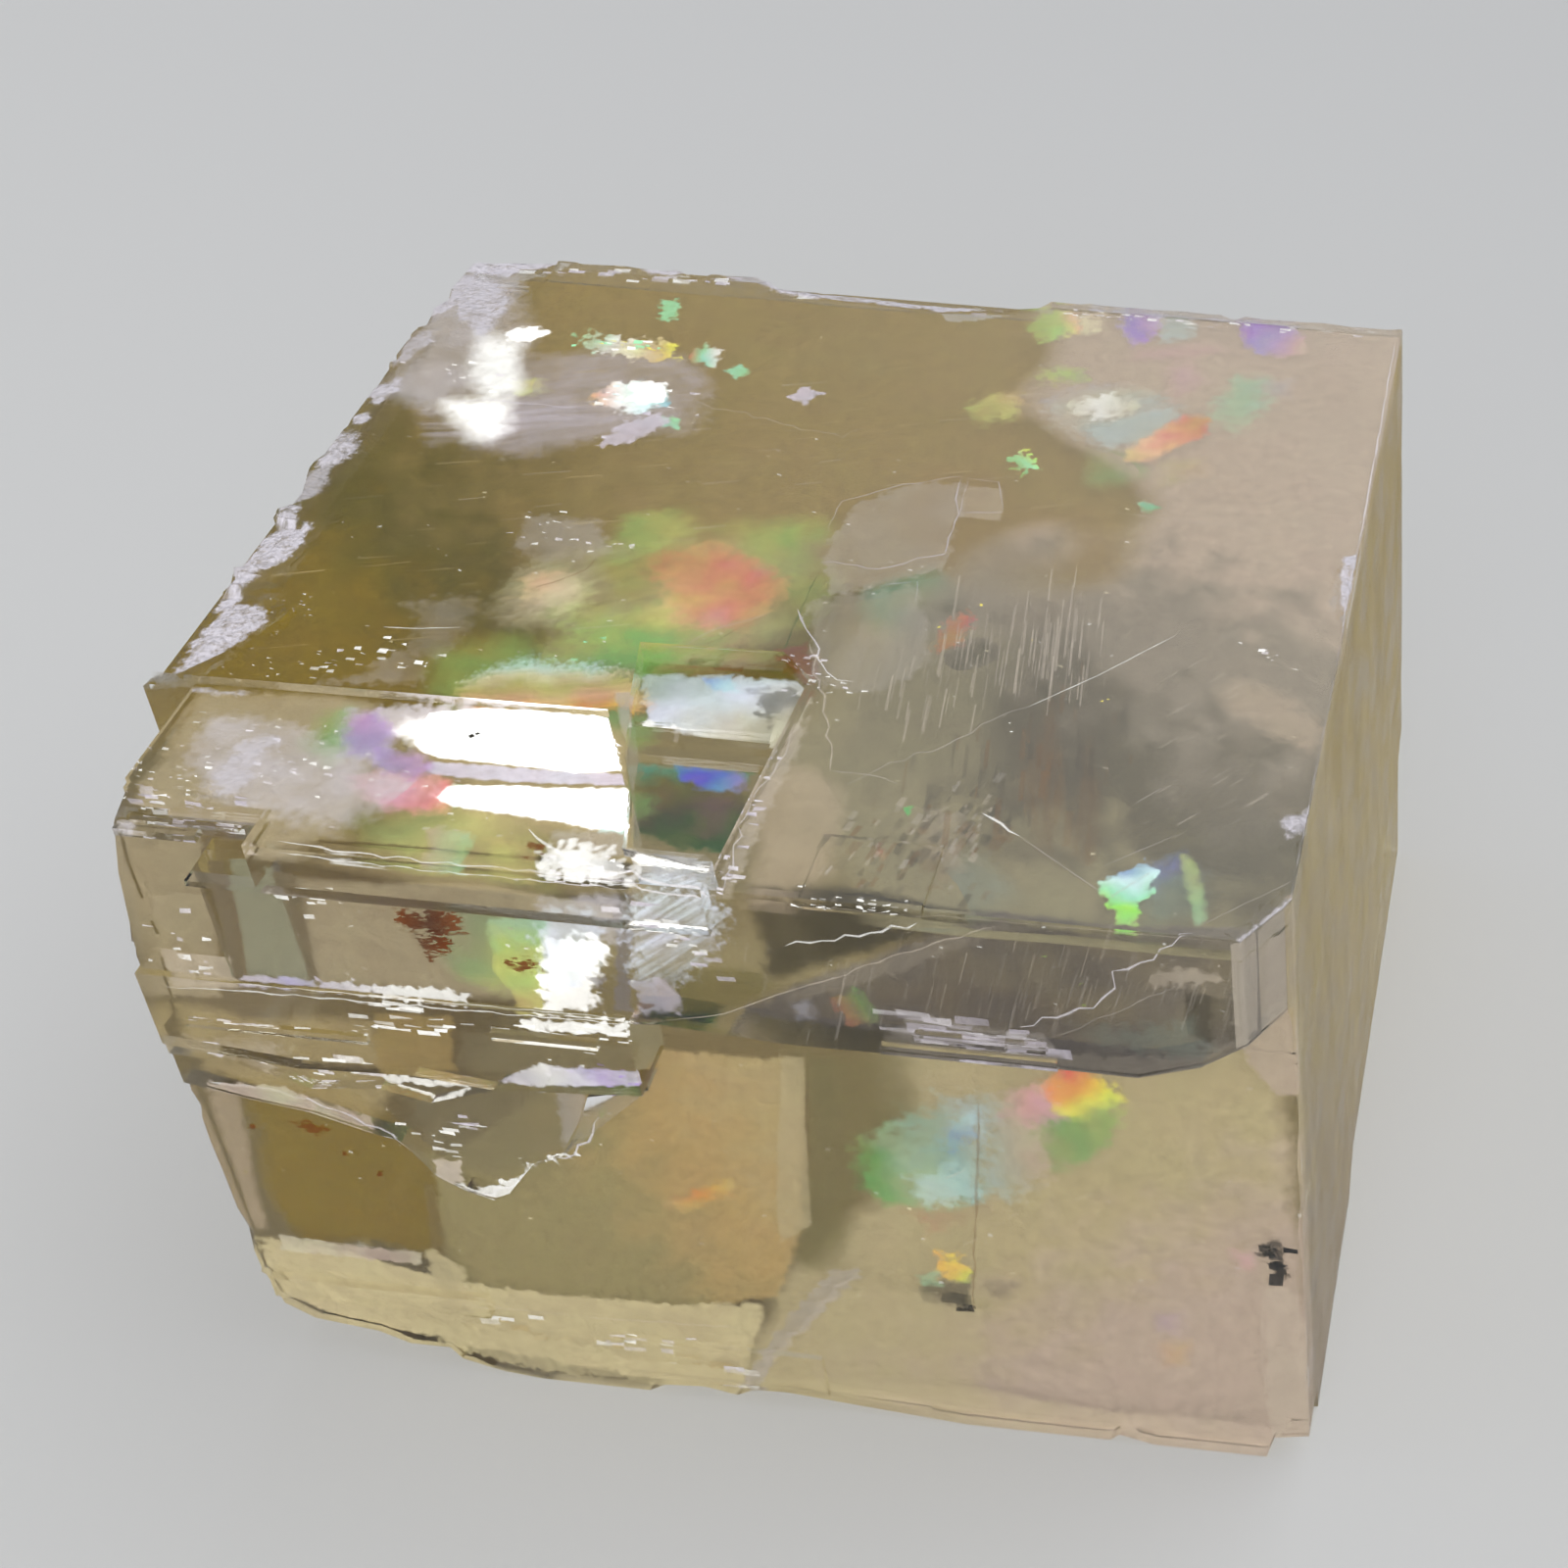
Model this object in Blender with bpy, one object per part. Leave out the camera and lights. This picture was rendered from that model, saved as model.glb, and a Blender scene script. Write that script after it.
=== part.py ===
"""Honey-coloured optical calcite: one broken cleavage rhomb that rests on its flat underside.

Calcite breaks along three planes only, so the piece is laid out in the crystal's own slanting axes,
in millimetres from the obtuse corner at the upper front right: u runs left, v runs back and w runs
down. place() turns such a point into metres, +Z up. The finished crystal is moved so that its origin
is under the middle of its bounding box.
"""

import math
import random

import bmesh
import bpy
from mathutils import Vector

MM = 0.001
NODE = "calcite_crystal"

# Driving dimensions of the rhomb, along its edges.
FACE_ANGLE = math.radians(101.92)  # obtuse angle of a calcite cleavage face
WIDTH = 78.0
DEPTH = 64.2
HEIGHT = 52.2
BEYOND = 6.0  # how far a cutter runs past the outside

# Upper slab: it stands out in front of the lower front face, which is v = 0.
SLAB_FRONT = -4.0
SLAB_BOTTOM = 12.4
SLAB_BACKING = -0.25  # where the cuts under the slab end
SLAB_UNDERSIDE = [  # (u, w)
    (-2.0, 8.1), (2.8, 8.5), (5.5, 10.4), (9.6, 11.8), (15.0, 11.7), (31.8, 11.9), (40.5, 11.3),
    (43.5, 11.6),
]
CORNER_FACET = [(2.65, -4.0), (-0.05, -0.1)]  # a line (u, v) that cuts the slab's right front corner

# Raised plate on the slab's left part, and the low rim in front of the pit.
PLATE_TOP = -1.0
PLATE_BOTTOM = 2.6
PLATE_FRONT = -5.1
PLATE_OUTLINE = [  # (u, v)
    (35.3, PLATE_FRONT), (77.0, PLATE_FRONT), (77.0, 9.4), (46.4, 9.8), (42.6, 2.8), (41.1, -2.3),
    (35.3, -2.7),
]

# Front left corner: the plate has broken away there and left a column and a leaning panel.
BREAK_FROM = 63.9
BREAK_FRONT = -1.2
COLUMN_TOP = 2.2
COLUMN_LEFT = 68.5
PANEL_FOOT = (-4.05, 11.6)
PANEL_OVERLAP = 0.05
LEFT_NOTCH = [(73.7, -0.6), (75.0, 2.0), (76.5, 6.3), (77.0, 9.9), (78.4, 15.6)]  # (u, w)
LEFT_NOTCH_BACK = 9.4
PANEL_END = [(73.4, -0.6), (74.95, 1.8), (75.2, 5.0), (74.9, 9.5), (74.3, 12.6)]  # (u, w)
PANEL_END_BACK = -0.4

# Layers under the slab at the left: each one's front face v and its outline (u, w).
BLOCK_FRONT = -4.35
BLOCK_OUTLINE = [
    (42.6, 11.0), (42.6, 17.3), (52.8, 18.1), (58.0, 17.5), (66.0, 17.9), (74.9, 16.9), (74.9, 11.0),
]
MIDDLE_FRONT = -3.2
MIDDLE_OUTLINE = [
    (51.0, 16.0), (53.6, 19.4), (58.2, 21.1), (61.5, 20.3), (66.4, 20.9), (71.2, 19.3), (75.7, 19.0),
    (75.7, 16.0),
]
LOBE_FRONT = -2.0
LOBE_OUTLINE = [
    (43.4, 16.0), (43.4, 19.3), (47.8, 20.5), (49.0, 23.3), (50.7, 26.2), (53.0, 27.5), (55.4, 30.6),
    (56.6, 31.2), (58.6, 30.5), (60.4, 29.4), (62.1, 26.4), (64.4, 25.8), (68.2, 24.5), (72.4, 23.8),
    (76.5, 22.9), (76.5, 16.0),
]
LAYERS = {
    "layer_block": (BLOCK_FRONT, BLOCK_OUTLINE),
    "layer_middle": (MIDDLE_FRONT, MIDDLE_OUTLINE),
    "layer_lobe": (LOBE_FRONT, LOBE_OUTLINE),
}
LAYER_ROOT = 1.0  # how far the layers reach into the rhomb

# Thin broken steps: (u from, u to, w from, w to, front face v).
THIN_STEPS = [
    (64.1, 70.6, 0.15, 0.55, -1.75),
    (66.4, 73.6, 0.90, 1.30, -1.65),
    (69.2, 74.5, 1.50, 2.05, -2.05),
    (15.2, 23.6, 9.50, 10.10, -4.50),
    (14.6, 26.0, 10.80, 11.50, -4.40),
    (44.6, 51.6, 12.60, 13.30, -4.75),
    (60.2, 72.4, 14.20, 14.80, -4.70),
    (22.0, 29.6, -0.30, 0.50, -4.30),
    (60.6, 77.0, 43.4, 45.2, -0.70),
    (36.0, 52.0, 46.2, 50.2, -0.45),
]

# Stepped pit in the top: its outline (u, v) and the stairs of its floor (v, w), front to back.
PIT_OUTLINE = [
    (35.6, -2.2), (40.8, -2.2), (42.5, 2.9), (44.7, 7.6), (45.4, 10.6), (46.0, 12.2), (47.3, 17.9),
    (37.4, 18.2), (34.9, 15.9),
]
PIT_RIGHT, PIT_LEFT = 34.9, 47.3
PIT_STAIRS = [
    (-9.0, 3.3), (10.2, 3.3), (10.4, 2.8), (11.1, 2.7), (11.2, 2.2), (11.8, 2.1), (12.0, 1.6), (24.0, 1.6),
]

# The broken lower front edge: what is below this line (u, w) is gone for a few millimetres back.
FOOT_LINE = [
    (79.5, 42.5), (77.7, 43.9), (77.1, 46.8), (75.1, 48.1), (70.4, 48.8), (68.2, 49.8), (65.1, 49.8),
    (64.4, 50.9), (61.5, 51.8), (57.0, 52.4), (50.5, 52.4), (48.9, 51.4), (45.7, 51.1), (43.4, 51.7),
    (41.9, 50.9), (39.4, 50.8), (32.9, 51.5), (24.0, 52.4), (15.2, 52.4), (14.3, 51.5), (11.0, 52.4),
    (3.3, 52.4), (2.6, 50.0), (-1.0, 49.2),
]
FOOT_BACK = 4.6

# Shallow layers missing from the right face: the face that is left (u), and the upper outline of what
# is gone (v, w).
RIGHT_LAYERS = {
    0.35: [(66.0, 38.6), (51.0, 39.8), (44.4, 44.6), (30.0, 45.8), (22.0, 54.0)],
}

# Bruised edges: start, end, the two ways into the solid, typical bite, deepest bite, spacing, seed.
U_IN, V_IN, W_IN = (-1, 0, 0), (0, -1, 0), (0, 0, 1)
EDGES = {
    "edge_top_left": ((78.0, 8.4, 0.0), (78.0, 65.6, 0.0), U_IN, W_IN, 0.35, 1.30, 2.0, 11),
    "edge_top_back": ((79.4, 64.2, 0.0), (-1.0, 64.2, 0.0), V_IN, W_IN, 0.30, 1.35, 2.3, 23),
    "edge_top_right": ((0.0, 65.4, 0.0), (0.0, 2.5, 0.0), (1, 0, 0), W_IN, 0.12, 0.45, 3.4, 5),
    "edge_plate_left": ((75.0, 9.8, PLATE_TOP), (75.0, -0.8, PLATE_TOP), U_IN, W_IN, 0.20, 0.55, 1.4, 31),
    "edge_back_left": ((78.0, 64.2, -0.8), (78.0, 64.2, 53.0), U_IN, V_IN, 0.35, 1.20, 2.2, 17),
    "edge_back_right": ((0.0, 64.2, -0.8), (0.0, 64.2, 53.0), (1, 0, 0), V_IN, 0.12, 0.70, 3.0, 8),
    "edge_front_left": ((78.0, 0.0, 24.0), (78.0, 0.0, 43.5), U_IN, (0, 1, 0), 0.20, 0.60, 2.4, 41),
    "edge_front_right": ((0.0, 0.0, 13.5), (0.0, 0.0, 48.6), (1, 0, 0), (0, 1, 0), 0.08, 0.30, 3.6, 19),
    "edge_foot_right": ((0.0, 3.4, 52.2), (0.0, 23.0, 52.2), (1, 0, 0), (0, 0, -1), 0.22, 0.80, 2.8, 27),
    "edge_foot_back": ((78.8, 64.2, 52.2), (-0.8, 64.2, 52.2), V_IN, (0, 0, -1), 0.25, 1.00, 2.6, 61),
    "edge_foot_left": ((78.0, 6.0, 52.2), (78.0, 65.0, 52.2), U_IN, (0, 0, -1), 0.25, 0.90, 2.4, 73),
}
EDGE_EXTRA = 0.5  # each bite's flat runs on outside the solid by this share of its size
EDGE_OUT = 1.2

# Flakes split off the edges of the top: each one's floor is a flat that slopes down to the outside.
# Outline (u, v), direction of the slope on (u, v), least depth, and the slope itself.
FLAKES = {
    "flake_left_front": (
        [(82.0, 10.0), (76.3, 10.4), (74.0, 13.4), (71.9, 18.0), (73.6, 20.7), (82.0, 19.6)],
        (1, 0), 0.12, 0.13,
    ),
    "flake_left_middle": (
        [(82.0, 20.9), (74.1, 22.6), (73.4, 25.4), (75.4, 27.6), (82.0, 28.8)],
        (1, 0), 0.10, 0.16,
    ),
    "flake_left_back": (
        [(82.0, 35.2), (76.9, 36.3), (75.7, 39.6), (76.1, 44.0), (77.0, 47.5), (82.0, 47.9)],
        (1, 0), 0.10, 0.20,
    ),
    "flake_corner": (
        [(82.0, 53.0), (76.2, 52.7), (73.1, 55.4), (70.4, 60.1), (70.6, 68.0), (82.0, 68.0)],
        (1, 1), 0.10, 0.06,
    ),
    "flake_back": (
        [(54.4, 68.0), (52.1, 62.5), (46.6, 61.6), (37.5, 61.0), (34.3, 61.7), (29.7, 62.8), (26.2, 68.0)],
        (0, 1), 0.10, 0.30,
    ),
    "flake_right": (
        [(-4.0, 33.4), (1.3, 32.4), (1.7, 28.6), (0.8, 26.1), (-4.0, 25.7)],
        (-1, 0), 0.10, 0.30,
    ),
}

HONEY = (0.80, 0.62, 0.32, 1.0)
ROUGHNESS = 0.08
REFRACTION = 1.658


def crystal_axes():
    """Unit vectors left, back and down along the rhomb's edges, each at FACE_ANGLE to the others."""
    c = math.cos(FACE_ANGLE)
    s = math.sin(FACE_ANGLE)
    down_y = (c - c * c) / s
    left = Vector((-1.0, 0.0, 0.0))
    back = Vector((-c, s, 0.0))
    down = Vector((-c, down_y, -math.sqrt(1.0 - c * c - down_y * down_y)))
    return left, back, down


LEFT, BACK, DOWN = crystal_axes()


def place(u, v, w):
    """The point u left, v back and w down, in metres."""
    return (LEFT * u + BACK * v + DOWN * w) * MM


def clear_scene():
    for item in list(bpy.data.objects):
        bpy.data.objects.remove(item)


def guide(name, mesh):
    """A solid that only shapes the crystal: it is hidden and drawn as wire."""
    item = bpy.data.objects.new(name, mesh)
    bpy.context.collection.objects.link(item)
    item.hide_render = True
    item.display_type = "WIRE"
    return item


def closed_mesh(name, rings):
    """A mesh from equal rings of points, joined in order and closed at both ends."""
    bm = bmesh.new()
    rows = [[bm.verts.new(point) for point in ring] for ring in rings]
    count = len(rows[0])
    for here, there in zip(rows, rows[1:]):
        for i in range(count):
            j = (i + 1) % count
            bm.faces.new((here[i], here[j], there[j], there[i]))
    bm.faces.new(reversed(rows[0]))
    bm.faces.new(rows[-1])
    bmesh.ops.triangulate(bm, faces=bm.faces[:])
    bmesh.ops.recalc_face_normals(bm, faces=bm.faces[:])
    mesh = bpy.data.meshes.new(name)
    bm.to_mesh(mesh)
    bm.free()
    return mesh


def prism(name, outline, axis, low, high):
    """An outline on two crystal axes, drawn out along the third from low to high."""

    def point(pair, along):
        a, b = pair
        spots = {"u": (along, a, b), "v": (a, along, b), "w": (a, b, along)}
        return place(*spots[axis])

    rings = [[point(pair, along) for pair in outline] for along in (low, high)]
    return guide(name, closed_mesh(name, rings))


def box(name, u, v, w):
    """A small rhomb between two values on each axis."""
    outline = [(u[0], w[0]), (u[1], w[0]), (u[1], w[1]), (u[0], w[1])]
    return prism(name, outline, "v", v[0], v[1])


def combine(body, piece, operation, solver="EXACT"):
    step = body.modifiers.new(piece.name, "BOOLEAN")
    step.operation = operation
    step.solver = solver
    step.object = piece


def join(body, piece):
    combine(body, piece, "UNION")


def cut(body, piece):
    combine(body, piece, "DIFFERENCE")


def cut_whole(body, piece):
    """A cut that EXACT leaves open or empty: both solids are closed, so MANIFOLD makes it."""
    combine(body, piece, "DIFFERENCE", "MANIFOLD")


def bite_sizes(rng, usual, deepest):
    """How far one station of a bruised edge is eaten into each of its two faces."""
    if rng.random() < 0.22:
        size = rng.uniform(0.55, 1.0) * deepest
    else:
        size = rng.uniform(0.4, 1.3) * usual
    lean = rng.uniform(0.6, 1.5)
    return size * lean, size / lean


def bruised_edge(name, start, end, into_a, into_b, usual, deepest, spacing, seed):
    """A cutter along an edge whose flats vary from station to station, as chipped calcite does."""
    rng = random.Random(seed)
    start, end = Vector(start), Vector(end)
    into_a, into_b = Vector(into_a), Vector(into_b)
    length = (end - start).length
    stations = [0.0]
    while stations[-1] < length:
        stations.append(stations[-1] + spacing * rng.uniform(0.25, 1.6))
    stations[-1] = length
    rings = []
    for along in stations:
        a, b = bite_sizes(rng, usual, deepest)
        spot = start.lerp(end, along / length)
        over_a = spot + into_a * a * (1 + EDGE_EXTRA) - into_b * b * EDGE_EXTRA
        over_b = spot + into_b * b * (1 + EDGE_EXTRA) - into_a * a * EDGE_EXTRA
        outside = spot - into_a * (a * EDGE_EXTRA + EDGE_OUT) - into_b * (b * EDGE_EXTRA + EDGE_OUT)
        rings.append([place(*over_a), place(*over_b), place(*outside)])
    return guide(name, closed_mesh(name, rings))


def rhomb_with_slab():
    """The rhomb and its upper slab: one outline (v, w) drawn out from right to left."""
    slab = [(0.0, SLAB_BOTTOM), (SLAB_FRONT, SLAB_BOTTOM), (SLAB_FRONT, 0.0)]
    outline = [(DEPTH, 0.0), (DEPTH, HEIGHT), (0.0, HEIGHT)] + slab
    body = prism(NODE, outline, "u", 0.0, WIDTH)
    body.hide_render = False
    body.display_type = "TEXTURED"
    return body


def shape_slab(body):
    """The slab's irregular underside, its right corner facet and the raised plate."""
    under = SLAB_UNDERSIDE + [(43.5, SLAB_BOTTOM + BEYOND), (-2.0, SLAB_BOTTOM + BEYOND)]
    cut(body, prism("under_slab", under, "v", SLAB_FRONT - BEYOND, SLAB_BACKING))
    (u1, v1), (u2, v2) = CORNER_FACET
    slope = (v1 - v2) / (u1 - u2)
    ahead = (u1 + 1.0, v1 + slope)
    behind = (u2 - 1.0, v2 - slope)
    corner = [ahead, behind, (-BEYOND, behind[1]), (-BEYOND, ahead[1])]
    cut(body, prism("corner_facet", corner, "w", -BEYOND, SLAB_BOTTOM + 1.0))
    join(body, prism("raised_plate", PLATE_OUTLINE, "w", PLATE_TOP, PLATE_BOTTOM))


def shape_front_left(body):
    """The broken corner: a short column, a panel that leans out, and both ends at the left edge."""
    ahead = SLAB_FRONT - BEYOND
    beyond = WIDTH + BEYOND
    cut(body, box("plate_break", (BREAK_FROM, beyond), (ahead, BREAK_FRONT), (-BEYOND, COLUMN_TOP)))
    head = (BREAK_FRONT - PANEL_OVERLAP, COLUMN_TOP - PANEL_OVERLAP)
    panel = [head, PANEL_FOOT, (ahead, PANEL_FOOT[1]), (ahead, head[1])]
    cut(body, prism("leaning_panel", panel, "u", COLUMN_LEFT, beyond))
    ends = {"left_notch": (LEFT_NOTCH, LEFT_NOTCH_BACK), "panel_end": (PANEL_END, PANEL_END_BACK)}
    for name, (line, back) in ends.items():
        outline = [(line[0][0], -BEYOND)] + line + [(beyond, line[-1][1]), (beyond, -BEYOND)]
        cut(body, prism(name, outline, "v", ahead, back))


def add_layers(body):
    """Layers and thin steps that stand out from the front."""
    for name, (front, outline) in LAYERS.items():
        join(body, prism(name, outline, "v", front, LAYER_ROOT))
    for index, (u1, u2, w1, w2, front) in enumerate(THIN_STEPS):
        join(body, box(f"thin_step_{index}", (u1, u2), (front, 0.6 + 0.1 * index), (w1, w2)))


def cut_pit(body):
    """A pit with a stepped floor: the stairs, kept only within the pit's outline."""
    stairs = PIT_STAIRS + [(PIT_STAIRS[-1][0], -BEYOND), (PIT_STAIRS[0][0], -BEYOND)]
    pit = prism("pit", stairs, "u", PIT_RIGHT - BEYOND, PIT_LEFT + BEYOND)
    combine(pit, prism("pit_outline", PIT_OUTLINE, "w", -BEYOND / 2, BEYOND), "INTERSECT")
    cut_whole(body, pit)


def break_foot(body):
    """The ragged lower front edge."""
    below = HEIGHT + BEYOND
    outline = FOOT_LINE + [(-1.0, below), (79.5, below)]
    cut(body, prism("foot_break", outline, "v", -BEYOND, FOOT_BACK))


def shed_right_layers(body):
    """Shallow layers missing from the right face."""
    below = HEIGHT + BEYOND
    for index, (face, line) in enumerate(RIGHT_LAYERS.items()):
        outline = line + [(line[-1][0], below), (line[0][0], below)]
        cut_whole(body, prism(f"right_layer_{index}", outline, "u", -BEYOND, face))


def split_flakes(body):
    for name, (outline, (slope_u, slope_v), least, rate) in FLAKES.items():
        heights = [u * slope_u + v * slope_v for u, v in outline]
        floor = [
            place(u, v, least + rate * (height - min(heights))) for (u, v), height in zip(outline, heights)
        ]
        lid = [place(u, v, -BEYOND) for u, v in outline]
        cut(body, guide(name, closed_mesh(name, [floor, lid])))


def bruise_edges(body):
    for name, values in EDGES.items():
        cut(body, bruised_edge(name, *values))


def calcite_material():
    material = bpy.data.materials.new("honey_calcite")
    material.use_nodes = True
    shader = material.node_tree.nodes["Principled BSDF"]
    shader.inputs["Base Color"].default_value = HONEY
    shader.inputs["Roughness"].default_value = ROUGHNESS
    shader.inputs["Metallic"].default_value = 0.0
    shader.inputs["IOR"].default_value = REFRACTION
    shader.inputs["Transmission Weight"].default_value = 1.0
    return material


def centre_over_base(body):
    """Moves the crystal so that its origin is under the middle of its bounding box."""
    solid = body.evaluated_get(bpy.context.evaluated_depsgraph_get()).to_mesh()
    lows = [min(vertex.co[i] for vertex in solid.vertices) for i in range(3)]
    highs = [max(vertex.co[i] for vertex in solid.vertices) for i in range(3)]
    body.evaluated_get(bpy.context.evaluated_depsgraph_get()).to_mesh_clear()
    offset = Vector((-(lows[0] + highs[0]) / 2, -(lows[1] + highs[1]) / 2, -lows[2]))
    for item in bpy.data.objects:
        item.location = offset


def main():
    clear_scene()
    body = rhomb_with_slab()
    shape_slab(body)
    cut_pit(body)
    shape_front_left(body)
    add_layers(body)
    break_foot(body)
    shed_right_layers(body)
    split_flakes(body)
    bruise_edges(body)
    body.data.materials.append(calcite_material())
    centre_over_base(body)


main()
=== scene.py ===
import math
import random
import re

import bpy
from mathutils import Color, Matrix, Vector, noise
from mathutils.bvhtree import BVHTree


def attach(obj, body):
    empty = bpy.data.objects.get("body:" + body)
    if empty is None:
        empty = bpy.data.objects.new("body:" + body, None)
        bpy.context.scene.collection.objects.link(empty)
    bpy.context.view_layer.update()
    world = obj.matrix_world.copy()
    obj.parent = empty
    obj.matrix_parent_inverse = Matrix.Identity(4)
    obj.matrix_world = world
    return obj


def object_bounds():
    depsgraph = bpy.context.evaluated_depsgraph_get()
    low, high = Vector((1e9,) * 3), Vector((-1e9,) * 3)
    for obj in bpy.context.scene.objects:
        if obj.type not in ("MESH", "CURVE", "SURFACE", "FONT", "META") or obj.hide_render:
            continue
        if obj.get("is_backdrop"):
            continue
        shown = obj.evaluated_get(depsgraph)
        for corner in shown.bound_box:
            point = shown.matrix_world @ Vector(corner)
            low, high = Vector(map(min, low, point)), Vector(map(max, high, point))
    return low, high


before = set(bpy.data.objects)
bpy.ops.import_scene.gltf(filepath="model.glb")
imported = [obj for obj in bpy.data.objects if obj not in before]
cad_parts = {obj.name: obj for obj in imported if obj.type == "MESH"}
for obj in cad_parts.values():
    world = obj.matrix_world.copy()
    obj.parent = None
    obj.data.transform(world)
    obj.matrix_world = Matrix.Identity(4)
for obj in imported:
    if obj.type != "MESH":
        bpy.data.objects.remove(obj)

MM = 0.001
cad_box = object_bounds()

# The crystal's own slanting axes, as in the part's source: u left, v back and w down, in millimetres
# from the obtuse corner at the upper front right.
FACE_ANGLE = math.radians(101.92)
CORNER = Vector((26.174, -24.753, 49.314)) * MM

# Camera: where the photograph was taken from, in the crystal's frame.
CAMERA_AT = CORNER + Vector((-26.010, -83.755, 97.523)) * MM
CAMERA_RIGHT = Vector((0.99451, 0.10098, 0.02753))
CAMERA_FORWARD = Vector((-0.04808, 0.67440, -0.73680))
CAMERA_LENS = 46.864
SENSOR_WIDTH = 36.0
CLIP_START = 0.005

# Studio: where the softboxes point, the brighter patch of the sky and the tints of sky and floor.
LIGHT_TARGET = Vector((0.0, 0.0, 0.025))
SOFTBOX_DISTANCE = 1.2
PATCH_WAY = Vector((0.42, 0.55, 0.72))
PATCH_START = 0.72
PATCH_GAIN = 1.2
SKY_LEVEL = 0.34
SKY_TINT = (0.93, 0.95, 1.0, 1.0)
FLOOR_TINT = (0.62, 0.62, 0.61, 1.0)
FLOOR_REACH = 3.0
FLOOR_DROP = 0.0002

# Calcite: its refraction, the honey colour that it takes on with thickness, and the crystal coordinates
# u, v and w past which a face is hidden in the photograph.
CALCITE_IOR = 1.6
CALCITE_TINT = (1.0, 0.99, 0.96, 1.0)
HONEY_TINT = (0.77, 0.70, 0.43, 1.0)
HONEY_DENSITY = 32.0
SHADOW_TINT = (0.92, 0.92, 0.92, 1.0)
HIDDEN_PAST = (74.3, 62.9, 51.6)
WORN_LEAST = 0.04
WORN_MORE = 0.12
HIDDEN_MORE = 0.24


def crystal_axes():
    """Left, back and down along the edges of a rhomb whose faces meet at FACE_ANGLE."""
    c = math.cos(FACE_ANGLE)
    s = math.sin(FACE_ANGLE)
    down_y = (c - c * c) / s
    left = Vector((-1.0, 0.0, 0.0))
    back = Vector((-c, s, 0.0))
    down = Vector((-c, down_y, -math.sqrt(1.0 - c * c - down_y * down_y)))
    return left, back, down


LEFT, BACK, DOWN = crystal_axes()
TO_CRYSTAL = Matrix((LEFT, BACK, DOWN)).transposed().inverted()


def place(u, v, w):
    """The point u left, v back and w down, in metres."""
    return CORNER + (LEFT * u + BACK * v + DOWN * w) * MM


def surface_tree(node):
    """The crystal's surface, for asking which point of it is nearest."""
    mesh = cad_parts[node].data
    spots = [vertex.co.copy() for vertex in mesh.vertices]
    return BVHTree.FromPolygons(spots, [tuple(face.vertices) for face in mesh.polygons])


SKIN = surface_tree("calcite_crystal")


# The faces that markings lie under: each takes two coordinates on the face and a depth below it.
PANEL_LEAN = 0.3032  # how far the leaning panel comes forward for each millimetre down
CORNER_SLOPE = 1.444  # how far the slab's right corner facet comes forward for each millimetre left
FACES = {
    "top": lambda u, v, deep: (u, v, deep),
    "plate": lambda u, v, deep: (u, v, -1.0 + deep),
    "pit_front": lambda u, v, deep: (u, v, 3.3 + deep),
    "pit_back": lambda u, v, deep: (u, v, 1.6 + deep),
    "slab": lambda u, w, deep: (u, -4.0 + deep, w),
    "rim": lambda u, w, deep: (u, -5.1 + deep, w),
    "break": lambda u, w, deep: (u, -1.2 + deep, w),
    "panel": lambda u, w, deep: (u, -0.533 - PANEL_LEAN * w + deep, w),
    "block": lambda u, w, deep: (u, -4.35 + deep, w),
    "middle": lambda u, w, deep: (u, -3.2 + deep, w),
    "lobe": lambda u, w, deep: (u, -2.0 + deep, w),
    "corner": lambda u, w, deep: (u, -0.17 - CORNER_SLOPE * u + deep, w),
    "front": lambda u, w, deep: (u, deep, w),
    "right": lambda v, w, deep: (deep, v, w),
    "left": lambda v, w, deep: (77.1 - deep, v, w),
    "back": lambda u, w, deep: (u, 63.3 - deep, w),
    "bottom": lambda u, v, deep: (u, v, 52.2 - deep),
}

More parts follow.
